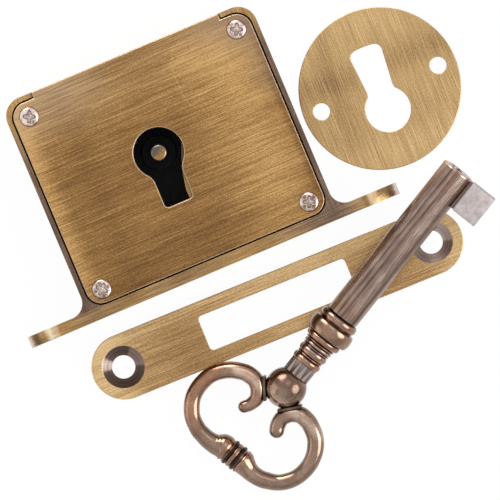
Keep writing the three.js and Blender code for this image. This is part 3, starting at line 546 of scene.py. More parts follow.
@dataclass(frozen=True)
class KeyCopper:
    """Antique copper plate of the key: polished casting or barrel brushed along its length.

    The shades are measured along the key (0) or across it (1). The greys field holds spans along
    the key that have turned grey, each with its ends and share. From copper_side's first place
    across the key to its second the plate turns from mauve to copper. Beyond satin_from the bit
    keeps a satin grey.
    """

    name: str
    lay: Lay
    centre: Triple
    turn: Triple
    mauve: tuple[Colour, Colour, Colour] = ((82, 66, 56), (156, 130, 113), (228, 204, 186))
    copper: tuple[Colour, Colour, Colour] = ((88, 64, 52), (160, 121, 99), (226, 182, 154))
    shades: tuple[Shade, ...] = ()
    greys: tuple[Triple, ...] = ()
    satin_from: float | None = None
    copper_side: Pair | None = None

    def make(self) -> bpy.types.Material:
        """Builds the material. Where the patina and painted shade attribute is 1 it is near black.
        """
        shader = Shader(self.name)
        place = shader.place(self.centre, self.turn)
        along, across = shader.split(place)[:2]
        patina_and_shade = shader.patina_and_shade()
        cloud = shader.noise(place, 0.3, 2, 0.5)
        if self.lay is Lay.BRUSHED:
            streak = shader.noise(place, (0.05, 2.6, 2.6), 3, 0.6)
            hair = shader.noise(place, (0.35, 7.0, 7.0), 2, 0.6)
            tone = 0.5 + streak * 0.5 + hair * 0.75 + cloud * 0.3
            rough = 0.26 + hair * 0.2
        else:
            streak = shader.noise(place, 1.1, 3, 0.6)
            hair = shader.noise(place, 4.0, 2, 0.6)
            tone = 0.45 + cloud * 0.4 + streak * 0.25 + hair * 0.35
            rough = 0.13 + streak * 0.12
        tone = shader.shaded(tone, (along, across), self.shades)
        hue = shader.noise(place, 0.17, 2, 0.5).rises(-0.05, 0.16) * 0.6
        if self.copper_side:
            hue = hue + across.rises(*self.copper_side)
        colour = shader.mix(hue.limited(), shader.ramp(tone, STOPS, *self.mauve),
                            shader.ramp(tone, STOPS, *self.copper))
        for low, high, share in self.greys:
            colour = shader.mix(along.within(low, high, 0.2) * share, colour, (178, 162, 160))
        if self.satin_from is not None:
            satin = 1 - across.rises(self.satin_from - 0.15, self.satin_from)
            blotch = shader.noise(place, 0.8, 3, 0.6)
            plain = shader.ramp(0.5 + blotch * 1.2 + hair * 0.6, (0.2, 0.8), (174, 162, 160),
                                (216, 205, 205))
            colour = shader.mix(satin, colour, plain)
            rough = rough + satin * 0.1
        # Patina and painted shade from the mesh's attribute, towards near black.
        colour = shader.mix(patina_and_shade.limited(), colour, SHADE_AND_PATINA)
        return shader.metal(colour, rough + patina_and_shade * 0.2, 1.0, streak + hair, 0.012)


# Surfaces

@dataclass
class Surface:
    """Points and faces of one piece, each point's patina and painted shade, and which faces stay
    flat.
    """

    points: Array
    faces: list[tuple[int, ...]]
    patina_and_shade: Array
    flat: list[bool]

    @staticmethod
    def grid(points: Array, patina_and_shade: Array | float = 0.0) -> "Surface":
        """Joins a grid of points into four-sided faces, closed round its columns.

        Args:
            points: Array of rows, columns and three coordinates.
            patina_and_shade: Patina and painted shade of each point, for each row and column.

        Returns:
            The surface. Rows that shrink to a point are merged when the mesh is made.
        """
        rows, columns = points.shape[:2]
        index = np.arange(rows * columns).reshape(rows, columns)
        near, far = index[:-1], index[1:]
        faces = np.stack([near, np.roll(near, -1, 1), np.roll(far, -1, 1), far], axis=-1)
        listed = [tuple(face) for face in faces.reshape(-1, 4).tolist()]
        shade = np.broadcast_to(patina_and_shade, (rows, columns)).reshape(-1)
        return Surface(points.reshape(-1, 3), listed, shade, [False] * len(listed))

    def joined(self, *others: "Surface") -> "Surface":
        """This surface and others as one."""
        parts = (self, *others)
        starts = np.cumsum([0, *(len(part.points) for part in parts)])
        faces = [tuple(corner + start for corner in face)
                 for part, start in zip(parts, starts.tolist()) for face in part.faces]
        return Surface(np.vstack([part.points for part in parts]), faces,
                       np.concatenate([part.patina_and_shade for part in parts]),
                       [flat for part in parts for flat in part.flat])

    def moved(self, change: Callable[[Array], Array]) -> "Surface":
        """This surface with its points changed."""
        return Surface(change(self.points), self.faces, self.patina_and_shade, self.flat)

    def piece(self, name: str, material: bpy.types.Material) -> bpy.types.Object:
        """Makes the object, its points in metres, with merged doubles and outward normals."""
        mesh = bpy.data.meshes.new(name)
        mesh.from_pydata((self.points * MM).tolist(), [], self.faces)
        mesh.polygons.foreach_set("use_smooth", [not flat for flat in self.flat])
        # The attribute holds each point's patina and painted shade.
        layer = mesh.attributes.new("patina_and_shade", "FLOAT", "POINT")
        layer.data.foreach_set("value", self.patina_and_shade.astype(np.float32))
        return finished(name, mesh, material)


def finished(name: str, mesh: bpy.types.Mesh, material: bpy.types.Material) -> bpy.types.Object:
    """Merges a mesh's doubles, turns its normals out, marks its sharp edges, makes its object."""
    work = bmesh.new()
    work.from_mesh(mesh)
    bmesh.ops.remove_doubles(work, verts=work.verts, dist=MERGE)
    bmesh.ops.recalc_face_normals(work, faces=work.faces)
    work.to_mesh(mesh)
    work.free()
    smooth_faces = np.empty(len(mesh.polygons), bool)
    mesh.polygons.foreach_get("use_smooth", smooth_faces)
    mesh.set_sharp_from_angle(angle=SHARP_ANGLE)
    mesh.polygons.foreach_set("use_smooth", smooth_faces)
    mesh.materials.clear()
    mesh.materials.append(material)
    made = bpy.data.objects.new(name, mesh)
    bpy.context.scene.collection.objects.link(made)
    return made


def circle(count: int) -> Array:
    """Angles round a full turn, the end left out."""
    return np.arange(count) / count * TAU


def smooth(values: Array, low: float, high: float) -> Array:
    """Smooth step 3t^2 - 2t^3, where t goes from 0 at low to 1 at high."""
    share = np.clip((values - low) / (high - low), 0, 1)
    return share * share * (3 - 2 * share)


def turned(radius: Array, angle: Array, height: Array) -> Array:
    """Points (r cos a, r sin a, h), with a row for each height and a column for each angle."""
    x = radius * np.cos(angle)
    return np.stack([x, radius * np.sin(angle), np.broadcast_to(height, x.shape)], axis=-1)


def revolved(profile: Array, columns: int, patina_and_shade: Array | float = 0.0) -> Surface:
    """Turns a profile, as rows of radius and height, about the Z axis."""
    return Surface.grid(turned(profile[:, :1], circle(columns), profile[:, 1:2]), patina_and_shade)


def along_x(points: Array) -> Array:
    """Lays points that were drawn along Z so that they run along X."""
    return points[:, [2, 1, 0]] * np.array([1, 1, -1])


def bent(start: Pair, corner: Pair, end: Pair, steps: int = 4) -> Array:
    """Points of the curve (1-t)^2 A + 2t(1-t) B + t^2 C, from A towards the corner B and to C."""
    share = np.linspace(0, 1, steps + 1)[:, None]
    a, b, c = (np.array(point, float) for point in (start, corner, end))
    return (1 - share) ** 2 * a + 2 * share * (1 - share) * b + share ** 2 * c


def rounded(corners: Sequence[Pair], radii: Sequence[float]) -> Array:
    """A profile whose inner corners are each replaced by a short curve of their own reach."""
    given = np.array(corners, float)
    out = [given[:1]]
    for before, corner, after, radius in zip(given[:-2], given[1:-1], given[2:], radii):
        back, forth = before - corner, after - corner
        near, far = np.linalg.norm(back), np.linalg.norm(forth)
        reach = min(radius, near * CORNER_SHARE, far * CORNER_SHARE)
        out.append(bent(corner + back / near * reach, corner, corner + forth / far * reach))
    out.append(given[-1:])
    return np.vstack(out)


def spline(rows: Array, count: int) -> Array:
    """Catmull-Rom curve through rows of numbers, even in the row index.

    Between rows B and C, with A before and D after, it is the cubic whose slopes are
    (C - A) / 2 and (D - B) / 2. Rows beyond the ends mirror the nearest ones.
    """
    full = np.vstack([2 * rows[0] - rows[1], rows, 2 * rows[-1] - rows[-2]])
    place = np.linspace(0, len(rows) - 1, count)
    index = np.minimum(place.astype(int), len(rows) - 2)
    t = (place - index)[:, None]
    a, b, c, d = (full[index + step] for step in range(4))
    return (b + (c - a) * t / 2 + (2 * a - 5 * b + 4 * c - d) * t ** 2 / 2
            + (3 * b - a - 3 * c + d) * t ** 3 / 2)


def slab(section: Array, low: float, high: float, edge: float) -> Surface:
    """A prism on a closed section, with small rounded edges.

    The section, drawn in Y and Z, is carried along X from low to high. Near both ends it is
    drawn in towards its middle by the edge times (1 - sin a) while X moves by edge (1 - cos a).
    """
    bend = np.linspace(0, math.pi / 2, 4)
    far, near = edge * (1 - np.sin(bend)), edge * (1 - np.cos(bend))
    inset = np.concatenate([[math.inf], far, near, [math.inf]])
    station = np.concatenate([[low], low + near, high - far, [high]])
    middle = section.mean(0)
    reach = np.abs(section - middle).max(0)
    shrink = np.clip(1 - inset[:, None] / reach, 0, 1)
    ring = middle + (section - middle)[None] * shrink[:, None]
    along = np.broadcast_to(station[:, None, None], (*ring.shape[:2], 1))
    return Surface.grid(np.concatenate([along, ring], -1))


# Flat plates

def arc(centre: Pair, radius: float, start: float, end: float) -> Array:
    """Points along an arc between two angles in degrees, one every 4 degrees or less."""
    angle = np.radians(np.linspace(start, end, max(2, math.ceil(abs(end - start) / 4)) + 1))
    return np.array(centre) + radius * np.column_stack([np.cos(angle), np.sin(angle)])


def hole(centre: Pair, radius: float) -> Array:
    """Outline of a round hole, whose last step of 4 degrees is left to close it."""
    return arc(centre, radius, 0, 356)


def outline(*runs: Array | Sequence[Pair]) -> Array:
    """A closed outline from runs of points, without the points that repeat."""
    points = np.vstack([np.array(run, float) for run in runs])
    return points[np.linalg.norm(points - np.roll(points, 1, 0), axis=1) > 1e-6]


def rounded_box(x: Pair, y: Pair, radius: float) -> Array:
    """Outline of a rectangle with rounded corners."""
    corners = ((x[1], y[0], -90), (x[1], y[1], 0), (x[0], y[1], 90), (x[0], y[0], 180))
    return outline(*(arc((side - math.copysign(radius, side - sum(x) / 2),
                          end - math.copysign(radius, end - sum(y) / 2)), radius, start, start + 90)
                     for side, end, start in corners))


def rim(low: float, high: float, edge: float, sink: float = 0.0) -> Array:
    """Profile of a plate's wall, as rows of inset and height, with rounded edges.

    At the upper edge the rows are e (1 - cos a) and high - e (1 - sin a), and the lower edge
    mirrors it. A countersink widens the wall by its depth, at 45 degrees, up to a fine edge.
    """
    turn = np.linspace(0, math.pi / 2, 5)[:, None]
    far, near = edge * (1 - np.sin(turn)), edge * (1 - np.cos(turn))
    upper = np.hstack([near, high - far])
    if sink:
        fine = 0.05
        upper = np.array([[0, high - sink], [sink - fine, high - fine], [sink, high - fine / 5],
                          [sink + fine * 0.8, high]])
    return np.vstack([np.hstack([far, low + near]), upper])


def plate(walls: Sequence[tuple[Array, Array]]) -> Surface:
    """A flat plate between walls, the first of which is the outer one.

    Each wall has an outline in plan and a profile. Its point is p + d n at height z, where p is
    the outline's point, n its mitred normal into the plate, and d and z a row of the profile.
    Triangles between the walls' first rings close the plate below, and between their last
    rings above.
    """
    rings = []
    for number, (plan, profile) in enumerate(walls):
        x, y = plan.T
        signed_area = (x * np.roll(y, -1) - y * np.roll(x, -1)).sum()
        if (signed_area > 0) != (number == 0):
            plan = plan[::-1]
        ahead = np.roll(plan, -1, 0) - plan
        ahead /= np.linalg.norm(ahead, axis=1, keepdims=True)
        left = np.column_stack([-ahead[:, 1], ahead[:, 0]])
        both = left + np.roll(left, 1, 0)
        mitre = both * 2 / (both ** 2).sum(1, keepdims=True)
        ring = plan + mitre * profile[:, None, :1]
        height = np.broadcast_to(profile[:, None, 1:], (*ring.shape[:2], 1))
        rings.append(np.concatenate([ring, height], -1))
    parts = [Surface.grid(ring) for ring in rings]
    for row in (0, -1):
        corners = tessellate_polygon([[Vector(point) for point in ring[row]] for ring in rings])
        points = np.vstack([ring[row] for ring in rings])
        parts.append(Surface(points, [tuple(corner) for corner in corners], np.zeros(len(points)),
                             [True] * len(corners)))
    return parts[0].joined(*parts[1:])


def laid_at(centre: Pair, turn: float) -> Callable[[Array], Array]:
    """A move that turns points about the Z axis and sets them on a centre."""
    matrix = np.array(Matrix.Rotation(turn, 3, "Z")).T
    return lambda points: points @ matrix + np.array([*centre, 0])


# Pieces of the frame

def node_box(node: str) -> tuple[Array, Array]:
    """Lowest and highest corner of a node's box, in millimetres."""
    low, high = (np.array(corner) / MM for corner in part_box(node))
    return low, high


def skin(node: str, bevel: float) -> bpy.types.Mesh:
    """A merged copy of a node's mesh, its sharp edges broken by a small round.

    Args:
        node: Name of the node.
        bevel: Width of the round in millimetres, or 0 for none.

    Returns:
        The new mesh. Faces square to an axis stay flat, and the others are smooth.
    """
    work = bmesh.new()
    work.from_mesh(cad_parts[node].data)
    bmesh.ops.remove_doubles(work, verts=work.verts, dist=MERGE)
    bmesh.ops.dissolve_limit(work, angle_limit=SAME_PLANE, verts=work.verts, edges=work.edges)
    if bevel:
        sharp = [edge for edge in work.edges
                 if edge.is_manifold and edge.calc_face_angle(0) > SHARP_ANGLE]
        bmesh.ops.bevel(work, geom=sharp, offset=bevel * MM, segments=2, profile=0.5,
                        affect="EDGES", clamp_overlap=True)
    work.normal_update()
    for face in work.faces:
        face.smooth = max(abs(share) for share in face.normal) < SQUARE_TO_AXIS
    mesh = bpy.data.meshes.new(node + "_skin")
    work.to_mesh(mesh)
    work.free()
    return mesh


def report(piece: bpy.types.Object, body: str, slot: str, *nodes: str) -> None:
    """Puts a piece on its body, hides the nodes it stands for, and logs it."""
    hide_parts(*nodes)
    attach(piece, body)
    log.info("%s on %s, %d faces", piece.name, body, len(piece.data.polygons))


# Sub-assemblies

@dataclass
class CaseAndCover:
    """Lock case, cover plate and cover screws."""

    bevel: float = 0.1
    cover_x: Pair = (-22.82, 25.42)
    cover_y: Pair = (-22.12, 18.52)
    cover_z: Pair = (10.9, 12.4)
    cover_corner: float = 3.0
    cover_edge: float = 0.27
    tongue_x: Pair = (-17.7, 20.3)
    tongue_end: float = 19.7
    keyhole_radius: float = 4.75
    keyhole_half: float = 2.8
    keyhole_drop: float = 10.2
    keyhole_fillet: float = 3.0
    keyhole_corner: float = 0.8
    screw_radius: float = 1.83
    screw_height: float = 0.95
    screw_sink: float = 0.5
    shank_radius: float = 0.95
    recess_depth: float = 0.45
    recess_waist: float = 0.66
    recess_reach: float = 1.24
    screw_gap: float = 0.02
    screw_turns: tuple[float, ...] = (-46, -26, -23, -27)
    screw_shades: tuple[float, ...] = (0.85, 0.12, 0.95, 0.25)

    def build(self) -> None:
        """Makes and dresses the pieces."""
        case = finished("case_casting", skin("lock_case", self.bevel), DarkBrass().make())
        report(case, "lock_body", "dark_brass", "lock_case")
        brass = BrushedBrass(
            "brushed_brass_cover",
            self.cover_z[1],
            shades=((0, -22.8, 4.5, 0.3), (0, -13.5, 5, -0.07), (0, 18.5, 13, 0.28),
                    (0, 9.5, 6, 0.05), (0, 25.6, 2.2, -0.25), (1, -20, 9, -0.1),
                    (1, 13, 10, 0.13)),
            level=0.4,
            milk=(7, 19),
            smoke=((26, 17, 11, 0.8), (17, 21, 9, 0.5), (26, 6, 7, 0.4)),
            scratch=Scratch(),
        )
        cover = self.cover().piece("cover_brushed", brass.make())
        report(cover, "lock_body", "aged_brass", "cover_plate")
        nickel = ScrewNickel().make()
        for number, (turn, shade) in enumerate(zip(self.screw_turns, self.screw_shades), 1):
            node = f"cover_screw_{number}"
            screw = self.screw(node, math.radians(turn), shade).piece(f"screw_{number}", nickel)
            report(screw, "lock_body", "nickel", node)

    def cover(self) -> Surface:
        """The cover plate between its outline, the keyhole and the screws' holes."""
        (left, right), (front, rear), corner = self.cover_x, self.cover_y, self.cover_corner
        plan = outline(
            arc((right - corner, front + corner), corner, -90, 0),
            arc((right - corner, rear - corner), corner, 0, 90),
            [(self.tongue_x[1], rear), (self.tongue_x[1], self.tongue_end),
             (self.tongue_x[0], self.tongue_end), (self.tongue_x[0], rear)],
            arc((left + corner, rear - corner), corner, 90, 180),
            arc((left + corner, front + corner), corner, 180, 270),
        )
        edged = rim(*self.cover_z, self.cover_edge)
        around = rim(*self.cover_z, HOLE_EDGE)
        middles = [sum(node_box(f"cover_screw_{number}")) / 2
                   for number in range(1, len(self.screw_turns) + 1)]
        holes = [(hole(middle[:2], self.screw_radius + self.screw_gap), around)
                 for middle in middles]
        return plate([(plan, edged), (self.keyhole(), edged), *holes])

    def keyhole(self) -> Array:
        """The keyhole: a circle that flows through fillets into a slot with rounded corners."""
        half, fillet, corner = self.keyhole_half, self.keyhole_fillet, self.keyhole_corner
        fillet_x = half + fillet
        fillet_y = -math.sqrt((self.keyhole_radius + fillet) ** 2 - fillet_x ** 2)
        meet = math.degrees(math.atan2(fillet_y, fillet_x))
        foot = corner - self.keyhole_drop
        return outline(
            arc((0, 0), self.keyhole_radius, meet, 180 - meet),
            arc((-fillet_x, fillet_y), fillet, -meet, 0),
            arc((corner - half, foot), corner, 180, 270),
            arc((half - corner, foot), corner, -90, 0),
            arc((fillet_x, fillet_y), fillet, 180, 180 + meet),
        )

    def screw(self, node: str, turn: float, shade: float) -> Surface:
        """A screw where its node is, with a four-armed recess.

        The recess's edge is e = w + (R - w) |cos 2a|^1.6. Each row of the table has a share of e,
        a radius that is added to it, a height above the head's underside, its painted shade, and
        how much of the painted shade between the arms it takes.
        """
        low, high = node_box(node)
        base = self.cover_z[1] - self.screw_sink
        angle = circle(128)
        arms = np.abs(np.cos(2 * (angle - turn))) ** 1.6
        edge = self.recess_waist + (self.recess_reach - self.recess_waist) * arms
        top, radius = self.screw_height, self.screw_radius
        floor = top - self.recess_depth
        shank = (high[2] - low[2]) - top
        table = np.array([
            (0, 0, floor + 0.12, 0.4, 0), (0.35, 0, floor + 0.08, 0.42, 0),
            (0.72, 0, floor, 0.4, 0), (0.88, 0, floor, 0.9, 0),
            (0.97, 0, top - 0.12, 0.9, 0), (1, 0, top - 0.02, 0.5, 0),
            (1, 0.06, top, 0, 0.2), (0.6, 0.5, top, 0, 1), (0, 1.36, top - 0.04, 0.05, 1),
            (0, radius * 0.9, top - 0.11, 0.1, 0.5), (0, radius * 0.965, top - 0.22, 0.35, 0),
            (0, radius * 0.995, top - 0.4, 0.45, 0), (0, radius, top - 0.5, 0.6, 0),
            (0, radius, 0, 1, 0), (0, self.shank_radius, 0, 1, 0),
            (0, self.shank_radius, -shank, 0.5, 0), (0, 0, -shank, 0.5, 0),
        ])
        points = turned(table[:, :1] * edge + table[:, 1:2], angle, base + table[:, 2:3])
        # Painted shade between the recess's arms, as much as the screw's shade.
        between = np.abs(np.sin(2 * (angle - turn))) ** 3 * shade
        middle = np.array([*(low + high)[:2] / 2, 0])
        return Surface.grid(middle + points, np.maximum(table[:, 3:4], table[:, 4:5] * between))


@dataclass
class Works:
    """Key pin, bolt, studs, lever, post, washer and spring."""

    bolt_bevel: float = 0.08
    bevel: float = 0.04
    pin_radius: float = 1.6
    pin_edge: float = 0.35

    def build(self) -> None:
        """Makes and dresses the pieces."""
        brass = Workmetal("works_brass", (140, 108, 68), (206, 168, 112), 0.26, (-6.2, -3.4)).make()
        steel = Workmetal("works_steel", (120, 118, 118), (196, 194, 192)).make()
        bolt = finished("bolt_drawn", skin("bolt", self.bolt_bevel), brass)
        report(bolt, "bolt", "plain_brass", "bolt")
        pin = self.pin().piece("pin_turned", PinBrass(radius=self.pin_radius).make())
        report(pin, "lock_body", "plain_brass", "key_pin")
        bodies = {"gate_stump": "bolt", "guide_stud_left": "lock_body",
                  "guide_stud_right": "lock_body", "lever": "lever", "lever_post": "lock_body",
                  "lever_washer": "lock_body", "lever_spring": "lever"}
        for node, body in bodies.items():
            bevel = 0 if node == "lever_spring" else self.bevel
            report(finished(node + "_bright", skin(node, bevel), steel), body, "steel", node)

    def pin(self) -> Surface:
        """The key pin with a rounded edge at its tip, turned about its axis."""
        low, high = (corner[2] for corner in node_box("key_pin"))
        radius, edge = self.pin_radius, self.pin_edge
        corners = [(0, low), (radius, low), (radius, high - edge), (radius - edge, high), (0, high)]
        return revolved(rounded(corners, (0.1, 0.2, 0.2)), 64)


@dataclass
class LoosePlates:
    """Strike plate and escutcheon."""

    edge: float = 0.14
    strike_centre: Pair = (9.45, -34.97)
    strike_turn: float = math.radians(-0.75)
    strike_size: Triple = (74.6, 12.4, 2.0)
    strike_slot: Pair = (29.7, 6.9)
    slot_corner: float = 0.8
    screw_spacing: float = 62.5
    screw_hole: float = 2.2
    disc_centre: Pair = (43.03, -4.97)
    disc_turn: float = math.radians(-1.1)
    disc_radius: float = 15.35
    disc_thickness: float = 1.0
    disc_screws: Pair = (11.8, 1.6)
    hole_radius: float = 4.3
    hole_y: float = -4.2
    neck_half: float = 2.55
    neck_flare: float = 0.35
    mouth_half: float = 3.1
    slot_reach: float = 12.6
    mouth_corner: float = 1.2

    def build(self) -> None:
        """Makes and dresses the pieces."""
        hole = self.screw_spacing / 2
        strike = BrushedBrass(
            "brushed_brass_strike",
            self.strike_size[2],
            (*self.strike_centre, 0),
            self.strike_turn,
            shades=((0, -35, 9, 0.3), (0, -19, 8, -0.1), (0, 6, 18, 0.1), (0, 37, 12, 0.26),
                    (1, 5.5, 4, 0.15)),
            middle=(170, 133, 88),
            light=(224, 192, 142),
            dark=(118, 84, 54),
            sinks=((-hole, 0, 0), (hole, 0, 0.24)),
        )
        flat = self.strike().moved(laid_at(self.strike_centre, self.strike_turn))
        report(flat.piece("strike_brushed", strike.make()), "strike", "aged_brass", "strike_plate")
        disc = BrushedBrass(
            "brushed_brass_escutcheon",
            self.disc_thickness,
            (*self.disc_centre, 0),
            self.disc_turn + math.pi / 2,
            shades=((0, 14, 8, 0.1), (1, 8, 4, -0.12), (0, -13, 7, 0.12), (0, 4, 4, -0.12)),
            middle=(188, 154, 106),
            light=(232, 198, 144),
            dark=(130, 100, 68),
            edge_light=0.4,
        )
        flat = self.escutcheon().moved(laid_at(self.disc_centre, self.disc_turn))
        laid = flat.piece("escutcheon_brushed", disc.make())
        report(laid, "escutcheon", "aged_brass", "escutcheon")

    def strike(self) -> Surface:
        """The strike plate about its own middle: round ends, a slot and two countersunk holes."""
        length, width, top = self.strike_size
        slot = rounded_box(*((-size / 2, size / 2) for size in self.strike_slot), self.slot_corner)
        plan = outline(arc(((length - width) / 2, 0), width / 2, -90, 90),
                       arc(((width - length) / 2, 0), width / 2, 90, 270))
        edged = rim(0, top, self.edge)
        sunk = rim(0, top, HOLE_EDGE, SINK_RADIUS - self.screw_hole)
        holes = [(hole((side * self.screw_spacing / 2, 0), self.screw_hole), sunk)
                 for side in (-1, 1)]
        return plate([(plan, edged), (slot, edged), *holes])

    def escutcheon(self) -> Surface:
        """The escutcheon about its own middle: a disc with a keyhole and two screw holes.

        The keyhole's slot flares from the round hole and ends in an arc about the hole's centre.
        """
        radius, y, reach = self.hole_radius, self.hole_y, self.slot_reach
        neck, mouth, corner = self.neck_half, self.mouth_half, self.mouth_corner
        hole_angle = math.degrees(math.acos((neck + self.neck_flare) / radius))
        end_angle = math.degrees(math.acos((mouth - corner) / reach))
        foot_y = y + math.sqrt(radius ** 2 - neck ** 2)
        corner_y = y + math.sqrt(reach ** 2 - mouth ** 2)
        round_hole = arc((0, y), radius, 180 - hole_angle, 360 + hole_angle)
        end = arc((0, y), reach, end_angle, 180 - end_angle)
        plan = outline(
            round_hole,
            bent(round_hole[-1], (neck, foot_y), (neck, y + radius)),
            bent((mouth, corner_y - corner), (mouth, corner_y), end[0]),
            end,
            bent(end[-1], (-mouth, corner_y), (-mouth, corner_y - corner)),
            bent((-neck, y + radius), (-neck, foot_y), round_hole[0]),
        )
        place, screw_hole = self.disc_screws
        edged = rim(0, self.disc_thickness, self.edge)
        holes = [(hole((side * place, 0), screw_hole), edged) for side in (-1, 1)]
        return plate([(arc((0, 0), self.disc_radius, 0, 357), edged), (plan, edged), *holes])


@dataclass
class Key:
    """The key: bow, ball and collar cast in one, and the barrel with its bit."""

    centre: Pair = (4.83, -49.95)
    heading: float = math.radians(28.65)
    bow_reach: float = 18.7
    half_width: float = 14.3
    wire: float = 1.375
    within_cad: float = 0.998
    end_radius: float = 2.6
    end_half: float = 1.45
    end_offset: float = -0.375
    columns: int = 96
    rest_height: float = 6.035
    rest_along: float = 13.688
    ball_radius: float = 3.95
    collar_start: float = 3.1
    collar_length: float = 13.85
    bulge_radius: float = 4.5
    bead_foot: float = 0.91
    groove_share: float = 0.88
    neck_radius: float = 2.75
    neck_length: float = 2.9
    flute_count: int = 12
    flute_depth: float = 0.3
    joint_gap: float = 0.3
    joint_radius: float = 3.0
    joint_seat: float = 0.1
    joint_play: float = 0.02
    barrel_radius: float = 3.245
    barrel_length: float = 35.35
    barrel_bore: float = 1.8
    barrel_edge: float = 0.45
    bore_depth: float = 12.0
    bit_length: float = 6.4
    bit_setback: float = 0.1
    bit_radius: float = 8.8
    bit_thickness: float = 3.2
    bit_corner: float = 0.12
    bit_edge: float = 0.14
    bit_neck: float = 0.4
    bit_neck_thickness: float = 2.2
    bit_neck_edge: float = 0.1
    bit_neck_overlap: float = 0.3
    bit_neck_root: float = 2.6
    scroll_left: tuple[Triple, ...] = (
        (0.863, 0.073, 1.6), (0.863, 0.115, 1.81), (0.866, 0.16, 1.8), (0.88, 0.207, 1.62),
        (0.897, 0.27, 1.41), (0.905, 0.375, 1.27), (0.898, 0.475, 1.2), (0.886, 0.559, 1.16),
        (0.83, 0.707, 1.11), (0.748, 0.811, 1.11), (0.658, 0.877, 1.1), (0.565, 0.902, 1.1),
        (0.473, 0.901, 1.1), (0.378, 0.877, 1.12), (0.288, 0.813, 1.16), (0.206, 0.708, 1.17),
        (0.144, 0.562, 1.18), (0.129, 0.465, 1.2), (0.134, 0.374, 1.17), (0.18, 0.275, 1.13),
        (0.266, 0.212, 1.02), (0.355, 0.226, 0.9), (0.415, 0.27, 0.85),
    )
    scroll_right: tuple[Triple, ...] = (
        (0.865, 0.125, 1.6), (0.866, 0.152, 1.81), (0.868, 0.184, 1.74), (0.878, 0.235, 1.54),
        (0.89, 0.305, 1.33), (0.894, 0.378, 1.24), (0.886, 0.475, 1.2), (0.864, 0.559, 1.19),
        (0.807, 0.697, 1.12), (0.729, 0.791, 1.13), (0.647, 0.849, 1.1), (0.561, 0.875, 1.1),
        (0.475, 0.879, 1.12), (0.387, 0.858, 1.13), (0.295, 0.805, 1.17), (0.206, 0.708, 1.17),
        (0.142, 0.559, 1.18), (0.125, 0.469, 1.2), (0.127, 0.373, 1.2), (0.18, 0.272, 1.14),
        (0.266, 0.215, 1.09), (0.348, 0.228, 1.07), (0.4, 0.262, 1.04),
    )
    beads: tuple[Triple, ...] = (
        (0.198, 0.281, 0.655), (0.296, 0.321, 0.61), (0.332, 0.423, 0.66), (0.4375, 0.4557, 0.645),
        (0.467, 0.51, 0.67), (0.525, 0.5466, 0.69), (0.565, 0.648, 0.805), (0.663, 0.866, 1.0),
        (0.892, 0.997, 0.865),
    )
    web_angle: float = math.radians(130)
    web_half: Pair = (0.36, 1.68)
    web_reach: float = 2.35
    web_edge: float = 0.2

    def build(self) -> None:
        """Makes and dresses the pieces."""
        place = (*self.centre, self.height)
        turn = (0.0, -self.tilt, self.heading)
        polished = KeyCopper(
            "copper_cast", Lay.POLISHED, place, turn,
            shades=((0, 1.3, 2.4, -0.2), (0, -2.6, 1.8, 0.25)),
            copper_side=(9.0, 13.5),
            greys=((3.2, 5.75, 0.8), (8.6, 10.5, 0.45), (11.9, 12.4, 0.4)),
        ).make()
        brushed = KeyCopper(
            "copper_barrel", Lay.BRUSHED, place, turn,
            mauve=((86, 69, 62), (146, 122, 111), (216, 195, 184)),
            copper=((86, 66, 56), (149, 120, 104), (218, 188, 168)),
            # The shades paint highlight bands and shade bands across the barrel, and a highlight at
            # its tip.
            shades=((1, -1.5, 0.9, 0.12), (1, -0.5, 0.25, -0.1), (1, 0.1, 0.42, -0.3),
                    (1, 1.15, 0.3, -0.26), (1, -2.45, 0.4, -0.28), (1, 1.9, 0.8, 0.05),
                    (1, 2.7, 0.7, 0.35), (0, 52.5, 0.4, 0.15)),
            satin_from=-3.45,
        ).make()
        web = self.web()
        bow = self.ringed_end().joined(
            self.ball(), self.collar(), self.neck(), self.joint(), web, web.moved(self.mirrored),
            self.scroll_arm(self.scroll_left),
            self.scroll_arm(self.scroll_right).moved(self.mirrored),
        ).moved(self.laid)
        report(bow.piece("key_casting", polished), "key", "aged_copper", "key_bow")
        tube = self.barrel().joined(*self.bit()).moved(self.laid)
        report(tube.piece("key_tube", brushed), "key", "brushed_copper", "key_barrel")

    @property
    def slope(self) -> float:
        """Rise of the key's axis for each millimetre along it."""
        end = self.bow_reach - self.end_radius
        return (self.rest_height - self.end_radius) / (self.rest_along + end)

    @property
    def tilt(self) -> float:
        """Angle of the key's axis above the table."""
        return math.atan(self.slope)

    @property
    def height(self) -> float:
        """Height of the ball's centre."""
        return self.end_radius + (self.bow_reach - self.end_radius) * self.slope

    @property
    def barrel_start(self) -> float:
        """Where the barrel begins on the key's axis."""
        return self.collar_start + self.collar_length + self.joint_gap

    def laid(self, points: Array) -> Array:
        """Points of the key's own frame where the key lies."""
        turn = Matrix.Rotation(self.heading, 3, "Z") @ Matrix.Rotation(-self.tilt, 3, "Y")
        return points @ np.array(turn).T + np.array([*self.centre, self.height])

    @staticmethod
    def mirrored(points: Array) -> Array:
        """Points on the other side of the key's axis."""
        return points * np.array([1, -1, 1])

    @staticmethod
    def flank_shade(lean: Array, most: float = 0.18) -> Array:
        """Painted shade on a round bar, from the share by which a point faces upwards.

        It is darkest on the flanks, lighter at the outermost line, and dark again below.
        """
        aside = np.sqrt(np.clip(1 - lean ** 2, 0, 1))
        flank = smooth(aside, 0.5, 0.76) * (1 - 0.75 * smooth(aside, 0.84, 0.97))
        return most * np.where(lean > 0, flank, 0.25 + 0.75 * smooth(-lean, 0, 0.5))

